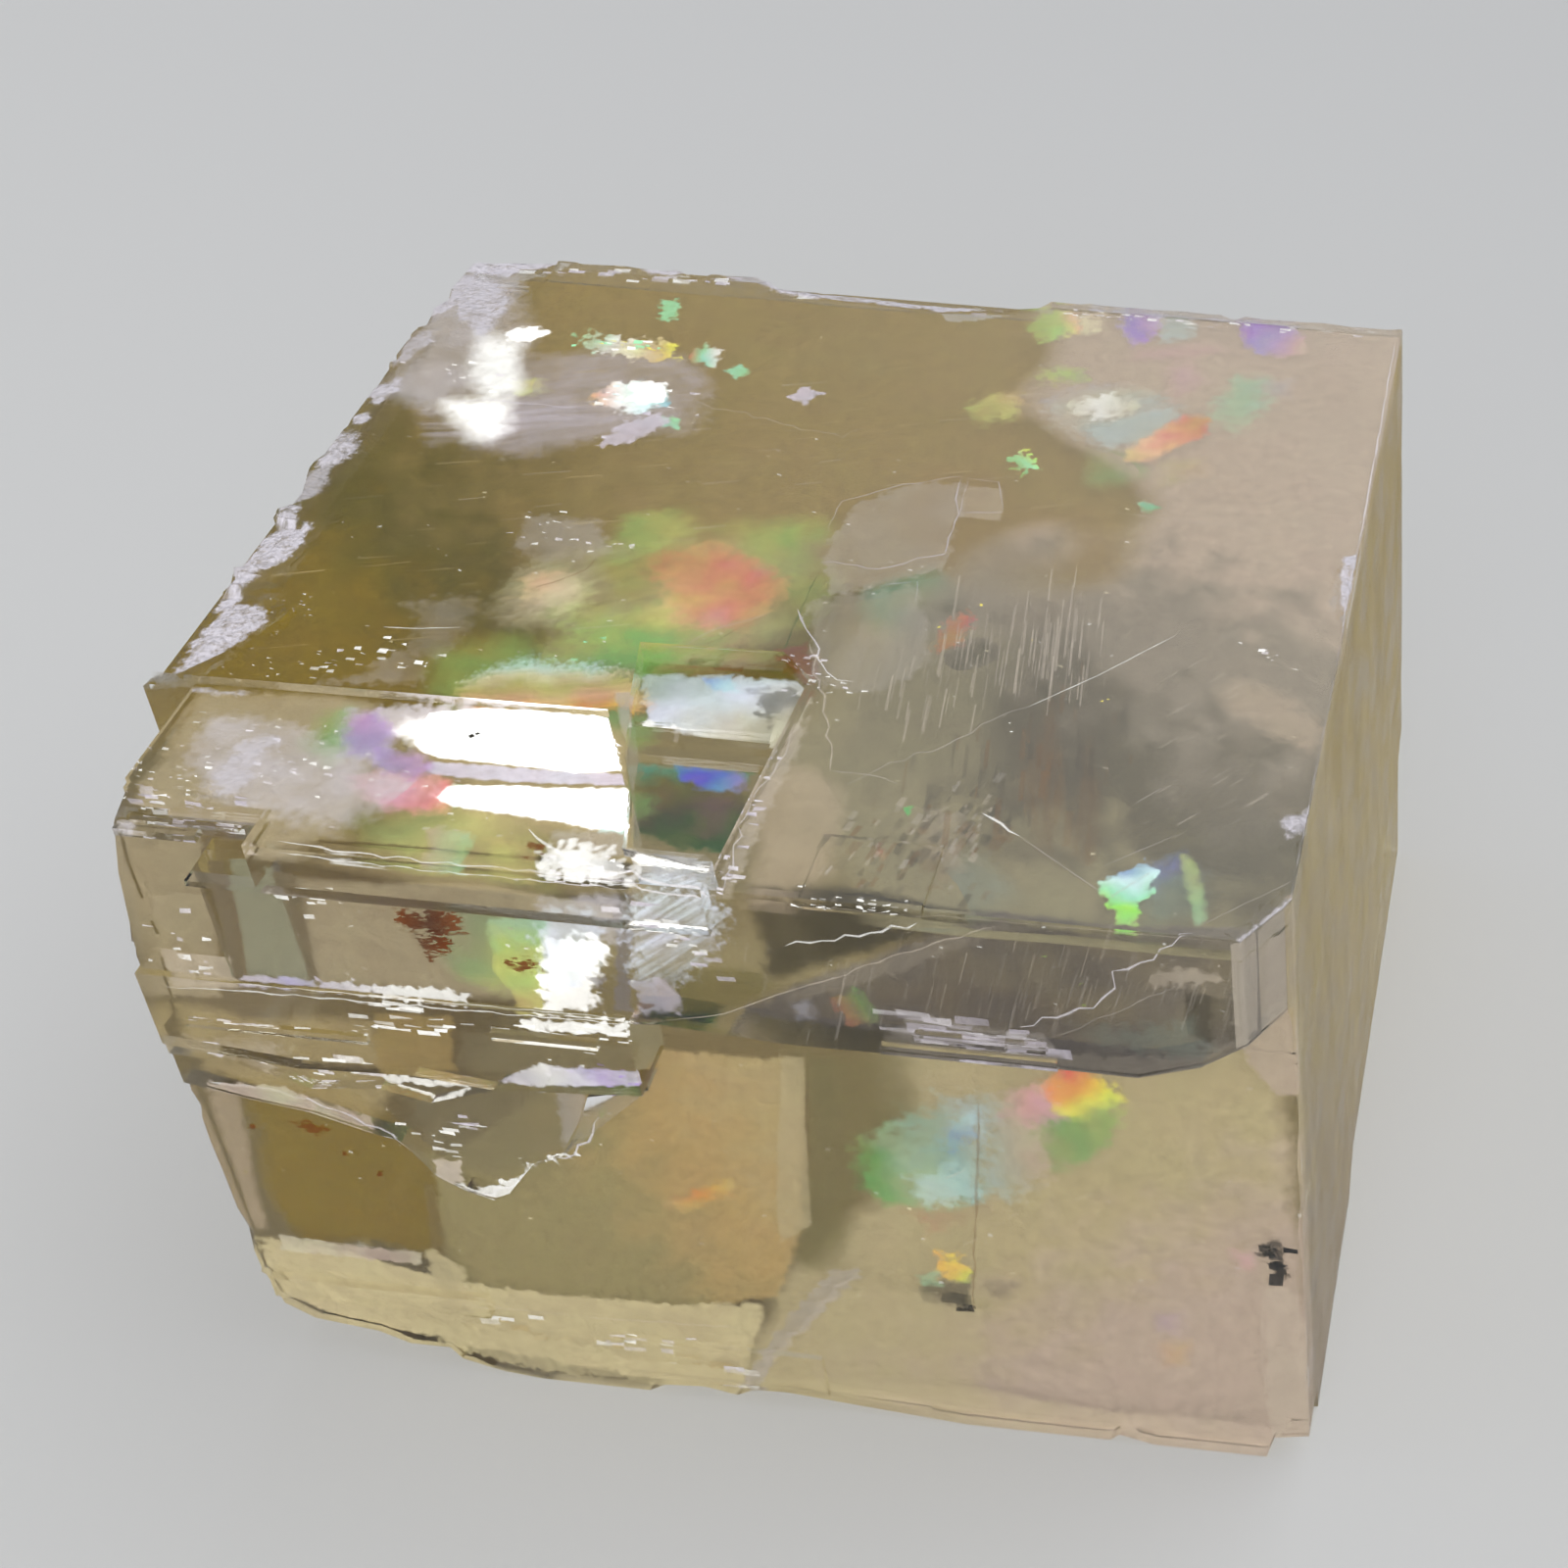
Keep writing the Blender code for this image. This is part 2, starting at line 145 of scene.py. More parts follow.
# Tints of the fractures and veils, as sRGB levels.
TINTS = {
    "white": (250, 250, 248),
    "bluish_white": (225, 235, 248),
    "cyan_white": (205, 240, 242),
    "cream": (238, 226, 190),
    "lilac": (205, 198, 212),
    "pink": (232, 170, 190),
    "peach": (240, 190, 150),
    "coral": (240, 120, 85),
    "dark_red": (140, 55, 30),
    "orange": (240, 160, 70),
    "yellow": (235, 220, 90),
    "lime": (190, 230, 80),
    "green": (95, 190, 75),
    "dark_green": (45, 75, 30),
    "mint": (150, 225, 175),
    "teal_green": (70, 150, 115),
    "teal": (60, 145, 150),
    "blue": (80, 120, 215),
    "violet": (160, 120, 215),
    "tan": (196, 176, 150),
    "honey": (196, 176, 128),
    "amber": (136, 114, 36),
    "olive": (100, 92, 38),
    "olive_grey": (122, 112, 84),
    "smoke": (84, 78, 62),
    "grey_veil": (176, 168, 160),
    "grey_violet": (120, 112, 110),
    "dark": (40, 34, 20),
    "brown": (110, 80, 45),
    "frost": (224, 219, 226),
    "frost_tan": (196, 184, 168),
    "milk_grey": (180, 170, 154),
    "black": (16, 13, 9),
    "milk_tan": (194, 176, 157),
    "milk_pink": (206, 186, 172),
    "amber_tan": (162, 138, 84),
    "pale_honey": (200, 186, 146),
    "peach_honey": (196, 166, 110),
    "brown_olive": (100, 82, 44),
    "brown_red": (120, 78, 52),
    "slab_dark": (62, 54, 28),
    "slab_violet": (88, 81, 77),
    "deep_smoke": (66, 60, 44),
    "bar": (118, 104, 76),
    "facet": (206, 192, 172),
    "haze_blue": (172, 172, 184),
    "haze_green": (150, 150, 116),
    "mint_olive": (140, 160, 104),
    "tan_pink": (176, 152, 134),
    "film_brown": (200, 174, 108),
    "film_tan": (216, 198, 148),
    "coral_dull": (196, 120, 88),
    "coral_pale": (226, 150, 130),
    "red_dull": (168, 84, 66),
    "pink_dull": (206, 166, 166),
    "peach_dull": (214, 174, 128),
    "yellow_dull": (196, 186, 112),
    "pale_lime": (206, 212, 128),
    "lime_dull": (160, 184, 96),
    "teal_pale": (140, 186, 180),
    "cyan_grey": (176, 192, 188),
    "cream_grey": (206, 202, 178),
    "violet_brown": (96, 66, 70),
    "violet_pale": (196, 184, 226),
    "smoke_tan": (150, 140, 124),
    "amber_mid": (150, 126, 72),
    "brown_amber": (140, 110, 72),
    "smoke_olive": (98, 92, 74),
    "mint_tan": (150, 150, 124),
    "panel_tan": (172, 158, 128),
    "slab_grey": (122, 114, 104),
    "haze_teal": (120, 136, 124),
    "foot_honey": (208, 194, 152),
    "honey_green": (162, 150, 104),
    "dark_column": (126, 116, 76),
    "salmon": (220, 138, 108),
    "lime_soft": (184, 204, 112),
    "green_soft": (118, 168, 92),
    "mint_soft": (160, 196, 158),
    "violet_soft": (172, 150, 204),
    "blue_soft": (120, 150, 200),
    "rust_brown": (120, 62, 16),
    "rust_dark": (76, 36, 10),
    "olive_tan": (146, 138, 108),
    "khaki": (158, 138, 86),
    "khaki_olive": (140, 122, 70),
}

# How far under the surface what is inside the crystal stays, and how far from it a stain's outline
# may stray, in millimetres.
SKIN_GAP = 0.12
STRAY = 0.9
RAY_WAY = Vector((0.31, 0.17, 0.94))
RAY_STEP = 1e-6

# Grid of the sheets and steps of the hairlines, in millimetres.
SHEET_CELLS = 40
CELL_LEAST = 0.12
CELL_MOST = 1.2
RELIEF_CELL = 0.3
LINE_STEP = 0.8

# How far a sheet reaches past its outline, for each millimetre of its soft and of its ragged edge.
SOFT_REACH = 0.9
RAGGED_REACH = 1.25
RELIEF_RISE = 0.6  # the millimetres, past its soft edge, over which a relief rises
MOST_STRAYS = 3  # corners of a buried cell that may have been drawn in from outside
CRISP_EDGE = (1.0, 0.1, 0.0)  # well inside the outline, hardly soft and not ragged

# How far apart two looks are in the noises, so that they don't share a pattern.
NOISE_STEP = 7.3
GRAIN_STEP = 3.7

# Tints are given as a screen shows them, from 0 to 255.
TINT_MOST = 255
GAMMA = 2.2


# ---------------------------------------------------------------- node helpers


def add(tree, kind, inputs=None, **settings):
    """A shader node with its settings, and its inputs linked or set."""
    node = tree.nodes.new("ShaderNode" + kind)
    for key, value in settings.items():
        setattr(node, key, value)
    for key, value in (inputs or {}).items():
        if isinstance(value, bpy.types.NodeSocket):
            tree.links.new(value, node.inputs[key])
        else:
            node.inputs[key].default_value = value
    return node


def math_node(tree, operation, a, b=0.0, c=0.0, clamp=False):
    return add(tree, "Math", {0: a, 1: b, 2: c}, operation=operation, use_clamp=clamp).outputs[0]


def smooth_step(tree, value, low, high):
    """0 below low, 1 above high, and a smooth rise between."""
    inputs = {"Value": value, "From Min": low, "From Max": high}
    return add(tree, "MapRange", inputs, interpolation_type="SMOOTHSTEP").outputs["Result"]


def noise_node(tree, where, scale, detail=2.0, roughness=0.5):
    inputs = {"Vector": where, "Scale": scale, "Detail": detail, "Roughness": roughness}
    return add(tree, "TexNoise", inputs).outputs["Fac"]


def stretched(tree, where, factors):
    """The place, scaled apart along each axis, for a noise that runs longer one way."""
    return add(tree, "VectorMath", {0: where, 1: factors}, operation="MULTIPLY").outputs["Vector"]


def crystal_coordinate(tree, axis):
    """The crystal coordinate u, v or w of the shaded point, in millimetres."""
    spot = add(tree, "NewGeometry").outputs["Position"]
    row = TO_CRYSTAL[axis]
    along = add(tree, "VectorMath", {0: spot, 1: tuple(row / MM)}, operation="DOT_PRODUCT").outputs["Value"]
    return math_node(tree, "SUBTRACT", along, row.dot(CORNER) / MM)


def new_material(name):
    """A material, its node tree and its main shader."""
    material = bpy.data.materials.new(name)
    material.use_nodes = True
    return material, material.node_tree, material.node_tree.nodes["Principled BSDF"]


# ---------------------------------------------------------------- studio


def make_camera():
    """The camera, where the photograph was taken from."""
    data = bpy.data.cameras.new("camera")
    data.lens = CAMERA_LENS
    data.sensor_width = SENSOR_WIDTH
    data.clip_start = CLIP_START
    camera = bpy.data.objects.new("camera", data)
    bpy.context.scene.collection.objects.link(camera)
    back = -CAMERA_FORWARD.normalized()
    up = back.cross(CAMERA_RIGHT).normalized()
    right = up.cross(back).normalized()
    turn = Matrix((right, up, back)).transposed().to_4x4()
    camera.matrix_world = Matrix.Translation(CAMERA_AT) @ turn
    bpy.context.scene.camera = camera


def softbox(name, direction, size, power):
    """A rectangular area light, shining at the crystal from a direction."""
    data = bpy.data.lights.new(name, "AREA")
    data.shape = "RECTANGLE"
    data.size, data.size_y = size
    data.energy = power
    light = bpy.data.objects.new(name, data)
    bpy.context.scene.collection.objects.link(light)
    way = Vector(direction).normalized()
    light.location = way * SOFTBOX_DISTANCE + LIGHT_TARGET
    light.rotation_euler = way.to_track_quat("Z", "Y").to_euler()


def make_world():
    """Even pale light all round, with a soft brighter patch behind the crystal."""
    world = bpy.data.worlds.new("studio")
    bpy.context.scene.world = world
    world.use_nodes = True
    tree = world.node_tree
    way = add(tree, "TexCoord").outputs["Generated"]
    towards = tuple(PATCH_WAY.normalized())
    near = add(tree, "VectorMath", {0: way, 1: towards}, operation="DOT_PRODUCT").outputs["Value"]
    patch = smooth_step(tree, near, PATCH_START, 1.0)
    strength = math_node(tree, "MULTIPLY_ADD", patch, PATCH_GAIN, SKY_LEVEL)
    sky = tree.nodes["Background"]
    sky.inputs["Color"].default_value = SKY_TINT
    tree.links.new(strength, sky.inputs["Strength"])


def make_studio():
    make_world()
    softbox("key", direction=(-0.10, -0.74, 0.68), size=(1.1, 0.9), power=9.0)
    softbox("left", direction=(-0.95, 0.1, 0.45), size=(0.7, 0.7), power=3.0)
    mesh = bpy.data.meshes.new("floor")
    corners = [(x * FLOOR_REACH, y * FLOOR_REACH, 0) for x, y in ((-1, -1), (1, -1), (1, 1), (-1, 1))]
    mesh.from_pydata(corners, [], [(0, 1, 2, 3)])
    floor = bpy.data.objects.new("floor", mesh)
    bpy.context.scene.collection.objects.link(floor)
    floor.location.z = -FLOOR_DROP
    paint, tree, shader = new_material("floor")
    shader.inputs["Base Color"].default_value = FLOOR_TINT
    shader.inputs["Roughness"].default_value = 0.75
    mesh.materials.append(paint)
    floor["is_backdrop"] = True


# ---------------------------------------------------------------- materials


def calcite():
    """Clear honey calcite, its faces faintly uneven. The hidden ones are rougher, to mirror softly."""
    material, tree, shader = new_material("calcite")
    u, v, w = (crystal_coordinate(tree, axis) for axis in range(3))
    left, back, bottom = (math_node(tree, "GREATER_THAN", *pair) for pair in zip((u, v, w), HIDDEN_PAST))
    hidden = math_node(tree, "MAXIMUM", math_node(tree, "MAXIMUM", back, left), bottom)
    where = add(tree, "CombineXYZ", {"X": u, "Y": v, "Z": w}).outputs["Vector"]
    swells = noise_node(tree, stretched(tree, where, (0.10, 0.14, 0.22)), 1.0, 1.0)
    scuffs = noise_node(tree, stretched(tree, where, (0.6, 1.7, 5.0)), 1.0, 2.0, 0.75)
    height = math_node(tree, "MULTIPLY_ADD", scuffs, 0.10, swells)
    bump = add(tree, "Bump", {"Height": height, "Strength": 0.35, "Distance": 0.0003}).outputs["Normal"]
    worn = math_node(tree, "MULTIPLY_ADD", smooth_step(tree, scuffs, 0.55, 0.75), WORN_MORE, WORN_LEAST)
    roughness = math_node(tree, "MULTIPLY_ADD", hidden, HIDDEN_MORE, worn)
    shader.inputs["Base Color"].default_value = CALCITE_TINT
    tree.links.new(roughness, shader.inputs["Roughness"])
    tree.links.new(bump, shader.inputs["Normal"])
    shader.distribution = "GGX"
    shader.inputs["IOR"].default_value = CALCITE_IOR
    shader.inputs["Transmission Weight"].default_value = 1.0
    output = tree.nodes["Material Output"]
    haze = add(tree, "VolumeAbsorption", {"Color": HONEY_TINT, "Density": HONEY_DENSITY})
    tree.links.new(haze.outputs["Volume"], output.inputs["Volume"])
    clear = add(tree, "BsdfTransparent", {"Color": SHADOW_TINT})
    lamp = add(tree, "LightPath").outputs["Is Shadow Ray"]
    mix = add(tree, "MixShader", {0: lamp, 1: shader.outputs["BSDF"], 2: clear.outputs["BSDF"]})
    tree.links.new(mix.outputs["Shader"], output.inputs["Surface"])
    return material


def attribute(tree, name):
    return add(tree, "Attribute", attribute_name=name)


def split(tree, vector):
    return add(tree, "SeparateXYZ", {0: vector}).outputs


def faded_edge(tree, wobble, reach):
    """0 outside a sheet's outline to 1 inside it, over its soft edge, which a noise makes ragged."""
    inset, soft, ragged = split(tree, attribute(tree, "edge").outputs["Vector"])
    wander = math_node(tree, "MULTIPLY", math_node(tree, "SUBTRACT", wobble, 0.5), ragged)
    inset = math_node(tree, "MULTIPLY_ADD", wander, reach, inset)
    return smooth_step(tree, math_node(tree, "DIVIDE", inset, soft), 0.0, 1.0)


def covered(tree, amount, tint):
    """How opaque a sheet is: the amount of it, times the cover kept beside its tint."""
    return math_node(tree, "MULTIPLY", amount, tint.outputs["Alpha"], clamp=True)


def shaded(tree, tint, fine, contrast):
    """The tint, lighter and darker with a fine noise."""
    level = math_node(tree, "MULTIPLY_ADD", math_node(tree, "SUBTRACT", fine, 0.5), contrast, 1.0)
    return add(tree, "HueSaturation", {"Value": level, "Color": tint.outputs["Color"]}).outputs["Color"]


def fracture(name, roughness, streaked):
    """A thin crack inside the crystal: its tint, cover, edge and grain come from the mesh. Its glow is
    painted light: through the emission the crack shines by itself, standing in for lamp light that it
    reflects.
    """
    material, tree, shader = new_material(name)
    tint = attribute(tree, "tint")
    # The first value is the glow, painted light that the emission shows; the second is the streak.
    glow, streak, _ = split(tree, attribute(tree, "finish").outputs["Vector"])
    grain = attribute(tree, "grain").outputs["Vector"]
    fine = noise_node(tree, grain, scale=1.3, detail=1.0, roughness=0.6)
    solid = faded_edge(tree, fine, 2.5)
    if streaked:
        fibres = noise_node(tree, stretched(tree, grain, (0.10, 1.5, 1.0)), 1.0, 1.0, 0.65)
        threads = smooth_step(tree, fibres, 0.25, 0.75)
        gaps = math_node(tree, "MULTIPLY", streak, math_node(tree, "SUBTRACT", 1.0, threads))
        solid = math_node(tree, "MULTIPLY", solid, math_node(tree, "SUBTRACT", 1.0, gaps))
    level = math_node(tree, "MULTIPLY_ADD", fine, 0.4, 0.8)
    scaled = {"Vector": tint.outputs["Color"], "Scale": level}
    colour = add(tree, "VectorMath", scaled, operation="SCALE").outputs["Vector"]
    tree.links.new(colour, shader.inputs["Base Color"])
    tree.links.new(colour, shader.inputs["Emission Color"])
    tree.links.new(glow, shader.inputs["Emission Strength"])
    tree.links.new(covered(tree, solid, tint), shader.inputs["Alpha"])
    shader.inputs["Roughness"].default_value = roughness
    shader.inputs["Specular IOR Level"].default_value = 0.0
    material.cycles.emission_sampling = "NONE"
    return material


def bruise():
    """Crushed calcite at the edges: white to lilac grains with clear gaps between them."""
    material, tree, shader = new_material("bruise")
    tint = attribute(tree, "tint")
    grain = attribute(tree, "grain").outputs["Vector"]
    lumps = noise_node(tree, grain, scale=0.8, detail=4.0, roughness=0.6)
    fine = noise_node(tree, grain, scale=3.2, detail=4.0, roughness=0.7)
    crumbs = math_node(tree, "ADD", lumps, math_node(tree, "MULTIPLY", fine, 0.5))
    packed = smooth_step(tree, crumbs, 0.50, 0.85)
    solid = math_node(tree, "MULTIPLY_ADD", packed, 0.55, 0.45)
    alpha = covered(tree, math_node(tree, "MULTIPLY", faded_edge(tree, lumps, 2.5), solid), tint)
    cells = add(tree, "TexVoronoi", {"Vector": grain, "Scale": 2.6}).outputs["Distance"]
    height = math_node(tree, "ADD", cells, math_node(tree, "MULTIPLY", fine, 0.8))
    bump = add(tree, "Bump", {"Height": height, "Strength": 0.8, "Distance": 0.0002}).outputs["Normal"]
    tree.links.new(shaded(tree, tint, fine, 0.8), shader.inputs["Base Color"])
    tree.links.new(alpha, shader.inputs["Alpha"])
    tree.links.new(bump, shader.inputs["Normal"])
    shader.inputs["Roughness"].default_value = 0.35
    return material


def rust():
    """Matt iron stain, darker and redder where it is thick."""
    material, tree, shader = new_material("iron_stain")
    tint = attribute(tree, "tint")
    grain = attribute(tree, "grain").outputs["Vector"]
    flat = stretched(tree, grain, (0.55, 1.6, 1.0))
    lumps = noise_node(tree, flat, scale=1.2, detail=5.0, roughness=0.65)
    fine = noise_node(tree, grain, scale=5.0, detail=3.0, roughness=0.6)
    bump = add(tree, "Bump", {"Height": fine, "Strength": 0.6, "Distance": 0.0001}).outputs["Normal"]
    tree.links.new(shaded(tree, tint, fine, 1.6), shader.inputs["Base Color"])
    tree.links.new(covered(tree, faded_edge(tree, lumps, 3.0), tint), shader.inputs["Alpha"])
    tree.links.new(bump, shader.inputs["Normal"])
    shader.inputs["Roughness"].default_value = 0.85
    return material


# ---------------------------------------------------------------- fracture sheets


def paint(name):
    """A named tint in linear values."""
    return [(level / TINT_MOST) ** GAMMA for level in TINTS[name]]


def blend_tints(names, t):
    """The colour at t from 0 to 1 along a row of named tints."""
    colours = [paint(name) for name in names]
    if len(colours) == 1:
        return colours[0]
    spot = min(max(t, 0.0), 1.0) * (len(colours) - 1)
    index = min(int(spot), len(colours) - 2)
    part = spot - index
    return [a + (b - a) * part for a, b in zip(colours[index], colours[index + 1])]


def rising(value, low, high):
    """0 below low, 1 above high, and a smooth rise between."""
    part = min(max((value - low) / (high - low), 0.0), 1.0)
    return part * part * (3.0 - 2.0 * part)


def cloudiness(rough):
    """Soft noise from 0 to 1 with clouds about three millimetres wide."""
    return 0.5 + 0.34 * noise.noise(rough * 0.35) + 0.16 * noise.noise(rough * 0.75)


def hue_turned(tint, turn):
    """The tint with its hue turned by a part of the colour circle."""
    colour = Color(tint)
    colour.h = (colour.h + turn) % 1.0
    return list(colour)


def inside_distance(spot, outline):
    """How far a point is inside an outline, or outside it if negative."""
    inside = False
    nearest = 1e9
    x, y = spot
    for (x1, y1), (x2, y2) in zip(outline, outline[1:] + outline[:1]):
        if (y1 > y) != (y2 > y) and x < (x2 - x1) * (y - y1) / (y2 - y1) + x1:
            inside = not inside
        dx, dy = x2 - x1, y2 - y1
        part = min(max(((x - x1) * dx + (y - y1) * dy) / (dx * dx + dy * dy), 0.0), 1.0)
        nearest = min(nearest, math.hypot(x1 + dx * part - x, y1 + dy * part - y))
    return nearest if inside else -nearest


class Planes:
    """Thin internal planes gathered into one mesh, with what their material needs at each vertex."""

    def __init__(self, jitter):
        self.jitter = jitter
        self.points = []
        self.faces = []
        self.kinds = []
        self.values = {"tint": [], "edge": [], "finish": [], "grain": []}

    def vertex(self, point, tint, cover, edge, finish, grain):
        self.points.append(point)
        self.values["tint"].append((*tint, cover))
        self.values["edge"].append(edge)
        self.values["finish"].append(finish)
        self.values["grain"].append(grain)
        return len(self.points) - 1

    def face(self, ring, kind=0):
        self.faces.append(ring)
        self.kinds.append(kind)

    def build(self, name, materials, slot):
        mesh = bpy.data.meshes.new(name)
        mesh.from_pydata(self.points, [], self.faces)
        for key, rows in self.values.items():
            kind, field = ("FLOAT_COLOR", "color") if key == "tint" else ("FLOAT_VECTOR", "vector")
            layer = mesh.attributes.new(key, kind, "POINT")
            layer.data.foreach_set(field, [number for row in rows for number in row])
        for material in materials:
            mesh.materials.append(material)
        mesh.polygons.foreach_set("material_index", self.kinds)
        piece = bpy.data.objects.new(name, mesh)
        bpy.context.scene.collection.objects.link(piece)
        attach(piece, "root")
        piece.visible_shadow = False
        return piece


def spots(text):
    """Pairs of millimetres written as "x,y x,y"."""
    return [tuple(float(number) for number in pair.split(",")) for pair in text.split()]


# In sheet, line and glints, glow is painted light: the look shines by itself through its emission.
def sheet(face, depth, tints, points, run="", grain=0, cover=0.8, soft=1.0, ragged=0.3,
          glow=0.0, streak=0.0, mist=0.0, wave=0.25, relief=0.0, fine=1.0):
    """A sheet with an outline of points on a face, depth millimetres below it. Its tints change along
    run, and its grain runs at an angle in degrees from the face's first axis."""
    return {"lay": lay_sheet, **locals()}


def line(face, depth, tints, points, width=0.2, cover=0.9, glow=0.0, jag=0.15):
    """A hairline along points on a face, with a small random zigzag."""
    return {"lay": lay_line, **locals()}


def glints(face, depth, tints, points, count=10, spread=1.0, size=0.6, cover=0.95, glow=0.5,
           slim=0.4, way=0):
    """Small cleavage flats scattered about the line between two points, long along way in degrees. Bright,
    glowing ones are painted glints of lamp light on the flats.
    """
    return {"lay": lay_glints, **locals()}


def looks(kind, text, **usual):
    """Looks of one kind, from rows that say: face depth tints | points | setting value, and so on.
    What a row leaves out is as usual in its list. An indented row goes on the one above it, and a row
    that starts with # is a note."""
    found = []
    for row in text.strip().replace("\n ", " ").splitlines():
        if row.startswith("#"):
            continue
        where, points, extras = row.split("|")
        face, depth, *tints = where.split()
        settings = dict(usual)
        for name, value in re.findall(r"([a-z]+) ([-\d., ]+)", extras):
            settings[name] = value if name == "run" else float(value)
        found.append(kind(face, float(depth), tints, spots(points), **settings))
    return found


def turned(spot, grain, fine):
    """A spot on the face, in millimetres along and across the grain, times how fine the grain is."""
    cx, cy = math.cos(math.radians(grain)), math.sin(math.radians(grain))
    x, y = spot
    return (x * cx + y * cy) * fine, (y * cx - x * cy) * fine


def along_run(spot, run):
    """How far along a run a spot is, from 0 at its start to 1 at its end."""
    (x1, y1), (x2, y2) = run
    dx, dy = x2 - x1, y2 - y1
    return ((spot[0] - x1) * dx + (spot[1] - y1) * dy) / (dx * dx + dy * dy)


def is_outside(point):
    """Whether a point is out of the crystal: a ray from there crosses the surface an even number of
    times."""
    crossings = 0
    spot = SKIN.ray_cast(point, RAY_WAY)[0]
    while spot:
        crossings += 1
        spot = SKIN.ray_cast(spot + RAY_WAY * RAY_STEP, RAY_WAY)[0]
    return crossings % 2 == 0


def kept_inside(point):
    """The point, drawn back under the surface if it is out of the crystal, and whether it was out."""
    near, normal, _, distance = SKIN.find_nearest(point)
    outside = is_outside(point)
    if outside or distance < SKIN_GAP * MM:
        point = near - normal * SKIN_GAP * MM
    return point, outside


def laid_on(point, rise):
    """The nearest spot on the surface, lifted by rise, and whether the point was too far from it."""
    near, normal, _, _ = SKIN.find_nearest(point)
    return near + normal * rise * MM, (point - near).length > STRAY * MM


def bumpy(spot, seed):
    """Relief from 0 to about 1 with lumps a few millimetres wide and sharper ones on them."""
    rough = Vector((*spot, seed * NOISE_STEP))
    coarse = noise.noise(rough * 0.55)
    sharp = abs(noise.noise(rough * 1.7))
    return min(max(0.45 + 0.6 * coarse + 0.7 * sharp, 0.0), 1.2)


def lay_sheet(planes, look, index):
    """Adds a sheet to the planes, as a grid kept where the outline is."""
    outline = look["points"]
    run = spots(look["run"])
    soft, ragged = look["soft"], look["ragged"]
    reach = soft * SOFT_REACH + ragged * RAGGED_REACH
    xs = [x for x, y in outline]
    ys = [y for x, y in outline]
    low = (min(xs) - reach, min(ys) - reach)
    size = (max(xs) + reach - low[0], max(ys) + reach - low[1])
    cell = RELIEF_CELL if look["relief"] else min(max(max(size) / SHEET_CELLS, CELL_LEAST), CELL_MOST)
    counts = [max(int(math.ceil(extent / cell)), 2) for extent in size]
    # The glow is painted light, shown by the material's emission; the streak leaves gaps along the grain.
    finish = (look["glow"], look["streak"], 0.0)

    def grid_spot(i, j):
        return low[0] + size[0] * i / counts[0], low[1] + size[1] * j / counts[1]

    places = [(i, j) for i in range(counts[0] + 1) for j in range(counts[1] + 1)]
    insets = {(i, j): inside_distance(grid_spot(i, j), outline) for i, j in places}
    made = {}

    def corner(i, j):
        spot = grid_spot(i, j)
        inset = insets[i, j]
        rough = Vector((*spot, index * NOISE_STEP))
        t = 0.0
        if run:
            t = along_run(spot, run) + noise.noise(rough * 0.45) * 0.16 + noise.noise(rough * 1.4) * 0.07
        if look["depth"] > 0.0:
            deep = look["depth"] + noise.noise(rough * 0.12) * look["wave"]
            point, stray = kept_inside(place(*FACES[look["face"]](*spot, deep)))
        else:
            swell = min(max(inset / (soft + RELIEF_RISE), 0.0), 1.0) * bumpy(spot, index)
            rise = look["relief"] * swell - look["depth"]
            point, stray = laid_on(place(*FACES[look["face"]](*spot, 0.0)), rise)
        grain = (*turned(spot, look["grain"], look["fine"]), index * GRAIN_STEP)
        cloud = cloudiness(rough)
        tint = hue_turned(blend_tints(look["tints"], t), (cloud - 0.5) * planes.jitter)
        cover = look["cover"] * (1.0 - look["mist"] * (1.0 - rising(cloud, 0.30, 0.66)))
        inset += 2.0 * soft * (0.2 + 0.5 * noise.noise(rough * 0.13))
        vertex = planes.vertex(point, tint, cover, (inset, soft, ragged), finish, grain)
        return vertex, stray

    most_strays = MOST_STRAYS if look["depth"] > 0.0 else 0
    kind = 1 if look["streak"] > 0.0 else 0
    for i in range(counts[0]):
        for j in range(counts[1]):
            ring = [(i, j), (i + 1, j), (i + 1, j + 1), (i, j + 1)]
            if max(insets[spot] for spot in ring) > -reach:
                for spot in ring:
                    if spot not in made:
                        made[spot] = corner(*spot)
                if sum(made[spot][1] for spot in ring) <= most_strays:
                    planes.face([made[spot][0] for spot in ring], kind)


def lay_line(planes, look, index):
    """Adds a hairline as a strip three vertices wide that thins out at both ends."""
    rng = random.Random(index * 31 + 5)
    stations = []
    points = look["points"]
    for (x1, y1), (x2, y2) in zip(points, points[1:]):
        length = math.hypot(x2 - x1, y2 - y1)
        steps = max(int(length / LINE_STEP), 1)
        across = (-(y2 - y1) / length, (x2 - x1) / length)
        for k in range(steps):
            off = rng.uniform(-1, 1) * look["jag"] if k else 0.0
            x = x1 + (x2 - x1) * k / steps + across[0] * off
            y = y1 + (y2 - y1) * k / steps + across[1] * off
            stations.append((x, y, across))
    stations.append((*points[-1], across))
    rows = []
    for k, (x, y, across) in enumerate(stations):
        part = k / (len(stations) - 1)
        thinned = min(1.0, 0.25 + 6 * part, 0.25 + 6 * (1 - part))
        half = look["width"] * 0.5 * rng.uniform(0.5, 1.3) * thinned
        tint = blend_tints(look["tints"], part)
        row = []
        for side in (-1, 0, 1):
            spot = (x + across[0] * half * side, y + across[1] * half * side)
            point, _ = kept_inside(place(*FACES[look["face"]](*spot, look["depth"])))
            edge = (half * (1 - abs(side)), half * 0.8, 0.0)
            finish = (look["glow"], 0.0, 0.0)
            row.append(planes.vertex(point, tint, look["cover"], edge, finish, (x, y, index * GRAIN_STEP)))
        rows.append(row)
    for here, there in zip(rows, rows[1:]):
        for a in (0, 1):
            planes.face([here[a], here[a + 1], there[a + 1], there[a]])


